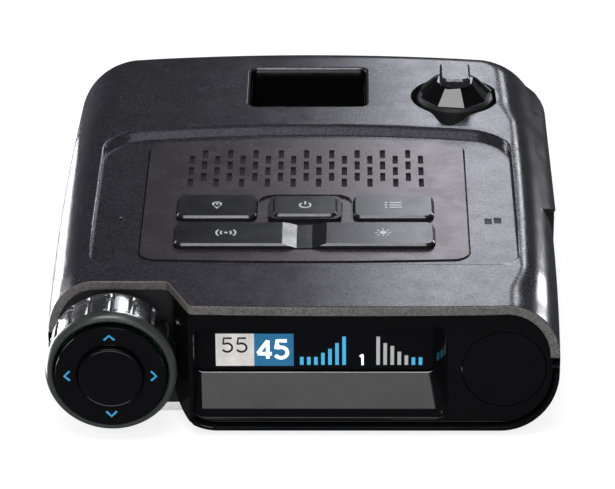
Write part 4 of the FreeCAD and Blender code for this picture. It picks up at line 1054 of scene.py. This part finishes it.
def make_band():
    """The metal band with its capsule grooves."""
    shape = Shape()
    shares = [i / 16 * 0.75 for i in range(-4, 5)] + [0.36, 0.5, 0.64]
    angles = [(groove + share) * 2 * math.pi / GROOVES for groove in range(GROOVES) for share in shares]
    rows = [(12.4, 0.42), (13.2, 0.42), (BAND_RAD - 0.12, 0.46), (BAND_RAD, 0.6)]
    rows += [(BAND_RAD, y) for y in steps(0.9, 9.1, 36)]
    rows += [(BAND_RAD - 0.1, 9.35), (BAND_RAD - 0.35, 9.55), (BAND_RAD - 0.8, 9.6), (8.2, 9.6)]
    rings = []
    for radius, y in rows:
        ring = []
        for angle in angles:
            reach = radius - (groove_depth(angle, y) if radius > BAND_RAD - 0.01 else 0.0)
            ring.append((DIAL[0] + reach * math.sin(angle), y, DIAL[1] + reach * math.cos(angle)))
        rings.append(shape.ring(ring))
    for a, b in zip(rings, rings[1:]):
        shape.bridge(a, b)
    shape.build("dial_band_ring", [KNOB], "dial", ["dial_band"], angle=48)


PAD_PROFILE = [(7.15, -1.6), (7.15, -2.3), (7.2, -2.45), (7.35, -2.55), (7.8, -2.62), (9.0, -2.76),
               (10.2, -2.95), (11.0, -3.12), (11.4, -3.24), (11.6, -3.26), (11.75, -3.18), (11.83, -3.0),
               (11.85, -2.7), (11.85, -1.6)]


def pad_level(radius):
    """How far the pad's face lies in front of the lip at this radius, as a Y value."""
    for (r0, y0), (r1, y1) in zip(PAD_PROFILE[2:], PAD_PROFILE[3:]):
        if r0 <= radius <= r1:
            return y0 + (y1 - y0) * (radius - r0) / (r1 - r0)
    return PAD_PROFILE[2][1]


def make_pad():
    """The dished pad and its four lit arrows."""
    shape = Shape()
    revolve(shape, PAD_PROFILE)
    shape.build("direction_pad_face", [GLOSS], "pad", ["direction_pad"])
    marks = Shape()
    arrow = stroke([(-1.12, -0.72), (0.0, 0.42), (1.12, -0.72)], 0.46)
    for turn in range(4):
        across, along = math.cos(math.radians(90 * turn)), math.sin(math.radians(90 * turn))
        rows = []
        for proud in (0.3, -0.03):
            row = []
            for x, z in arrow:
                px, pz = x * across + (z + 9.4) * along, -x * along + (z + 9.4) * across
                row.append((DIAL[0] + px, pad_level(math.hypot(px, pz)) + proud, DIAL[1] + pz))
            rows.append(row)
        rings = marks.loft(rows)
        marks.fill(rings[-1])
    marks.build("direction_marks", [ARROW], "pad", ["direction_arrows"], weighted=False)


def make_mute():
    """The centre button's shallow dome."""
    shape = Shape()
    profile = [(MUTE_RAD, -1.6), (MUTE_RAD, -3.2), (MUTE_RAD - 0.06, -3.38), (MUTE_RAD - 0.2, -3.48)]
    for radius in steps(MUTE_RAD - 0.4, 0.3, 14):
        profile.append((radius, MUTE_FACE + (radius / MUTE_RAD) ** 2 * 0.58))
    rings = revolve(shape, profile, 96)
    shape.fill(rings[-1])
    shape.build("mute_dome", [GLOSS], "mute", ["mute_button"])


# ---- finer edges on CAD pieces

FINE_EDGES = {"control_panel": 0.16, "marker_button": 0.14, "program_button": 0.14, "power_button": 0.12,
              "rocker_bar": 0.14, "turret_cap": 0.18, "turret_lens": 0.14, "turret_hood": 0.12,
              "turret_base": 0.1, "port_panel": 0.2, "camera_barrel": 0.2}


def soften_edges():
    """Rounds the edges of the CAD pieces that show, by millimetre widths."""
    for node, width in FINE_EDGES.items():
        obj = frame["nodes"][node]
        obj.modifiers.clear()
        bevel = obj.modifiers.new("fine_edges", "BEVEL")
        bevel.width = width * MM
        bevel.segments = 2
        bevel.limit_method = "ANGLE"
        bevel.angle_limit = math.radians(28)
        bevel.harden_normals = True
        weighted = obj.modifiers.new("normals", "WEIGHTED_NORMAL")
        weighted.keep_sharp = True


dress_cad_nodes()
soften_edges()
make_top_cover()
make_bottom_cover()
make_cover_rim()
make_fascia()
make_flank()
make_eye()
make_legends()
make_slot_floors()
make_screen()
make_bezel()
make_band()
make_pad()
make_mute()


# ---- camera, lights and stage

def add_area(name, centre, target, size, energy, colour=(1, 1, 1)):
    light = bpy.data.lights.new(name, "AREA")
    light.shape = "RECTANGLE"
    light.size, light.size_y = size
    light.energy = energy
    light.color = colour
    obj = bpy.data.objects.new(name, light)
    bpy.context.scene.collection.objects.link(obj)
    obj.location = centre
    obj.rotation_euler = (Vector(target) - Vector(centre)).to_track_quat("-Z", "Y").to_euler()
    return obj


def make_camera():
    """The view from in front and above, fitted to the object's straight edges."""
    camera = bpy.data.cameras.new("camera")
    camera.sensor_width = 36.0
    camera.lens = 213.7
    camera.clip_start = 0.01
    obj = bpy.data.objects.new("camera", camera)
    bpy.context.scene.collection.objects.link(obj)
    right, up = Vector((0.99993, 0.01083, -0.0056)), Vector((0.0, 0.4587, 0.8886))
    forward = Vector((-0.0122, 0.8885, -0.4587))
    turn = Matrix((right, up, -forward)).transposed().to_4x4()
    obj.matrix_world = Matrix.Translation(place(10.47, -680.20, 397.82)) @ turn
    bpy.context.scene.camera = obj


def make_stage():
    """A pale world and a white floor that gloss surfaces don't mirror."""
    scene = bpy.context.scene
    scene.view_settings.view_transform = "Standard"
    world = bpy.data.worlds.new("studio")
    scene.world = world
    world.use_nodes = True
    background = world.node_tree.nodes["Background"]
    background.inputs["Color"].default_value = (0.8, 0.82, 0.86, 1)
    background.inputs["Strength"].default_value = 0.06
    shape = Shape()
    shape.face(shape.ring([(-3000, -3000, 0), (3000, -3000, 0), (3000, 3000, 0), (-3000, 3000, 0)]))
    mesh = bpy.data.meshes.new("floor")
    mesh.from_pydata(shape.points, [], shape.faces)
    floor = bpy.data.objects.new("floor", mesh)
    scene.collection.objects.link(floor)
    n = Nodes("floor")
    n.link(n.mix(n.noise(400.0), (0.36, 0.36, 0.36), (0.4, 0.4, 0.4)), "Base Color")
    n.shader.inputs["Roughness"].default_value = 0.9
    n.shader.inputs["Emission Color"].default_value = (1, 1, 1, 1)
    n.shader.inputs["Emission Strength"].default_value = 0.85
    mesh.materials.append(n.material)
    floor.visible_glossy = False


def make_lights():
    """Two soft lights behind, edge lights at both sides, soft boxes in front and a weak top light."""
    add_area("back_right", (0.27, 0.92, 0.46), (0.045, 0.0, 0.03), (0.07, 0.22), 0.5, (0.95, 0.96, 1.0))
    add_area("back_soft", (0.075, 0.80, 0.46), (0.03, 0.0, 0.03), (0.11, 0.4), 0.62, (0.93, 0.94, 1.0))
    add_area("right_edge", (0.50, 0.60, 0.10), (0.05, 0.0, 0.02), (0.04, 0.2), 1.0, (0.96, 0.97, 1.0))
    add_area("left_floor", (-0.115, 0.02, 0.001), (-0.115, 0.02, 1.0), (0.07, 0.17), 0.5, (0.96, 0.97, 1.0))
    add_area("left_low", (-0.45, 0.30, 0.12), (-0.03, -0.06, 0.02), (0.2, 0.2), 0.6)
    add_area("front_soft", (-0.02, -0.62, 0.58), (0, -0.05, 0.02), (0.7, 0.22), 1.0)
    add_area("front_high", (-0.10, -0.36, 0.80), (-0.03, -0.06, 0.02), (0.5, 0.2), 2.6)
    add_area("front_low", (0.0, -1.2, 0.12), (0.04, -0.06, 0.02), (1.2, 0.2), 1.4)
    add_area("overhead", (0.08, 0.02, 0.9), (0, 0, 0.0), (0.5, 0.5), 0.8)


make_camera()
make_stage()
make_lights()
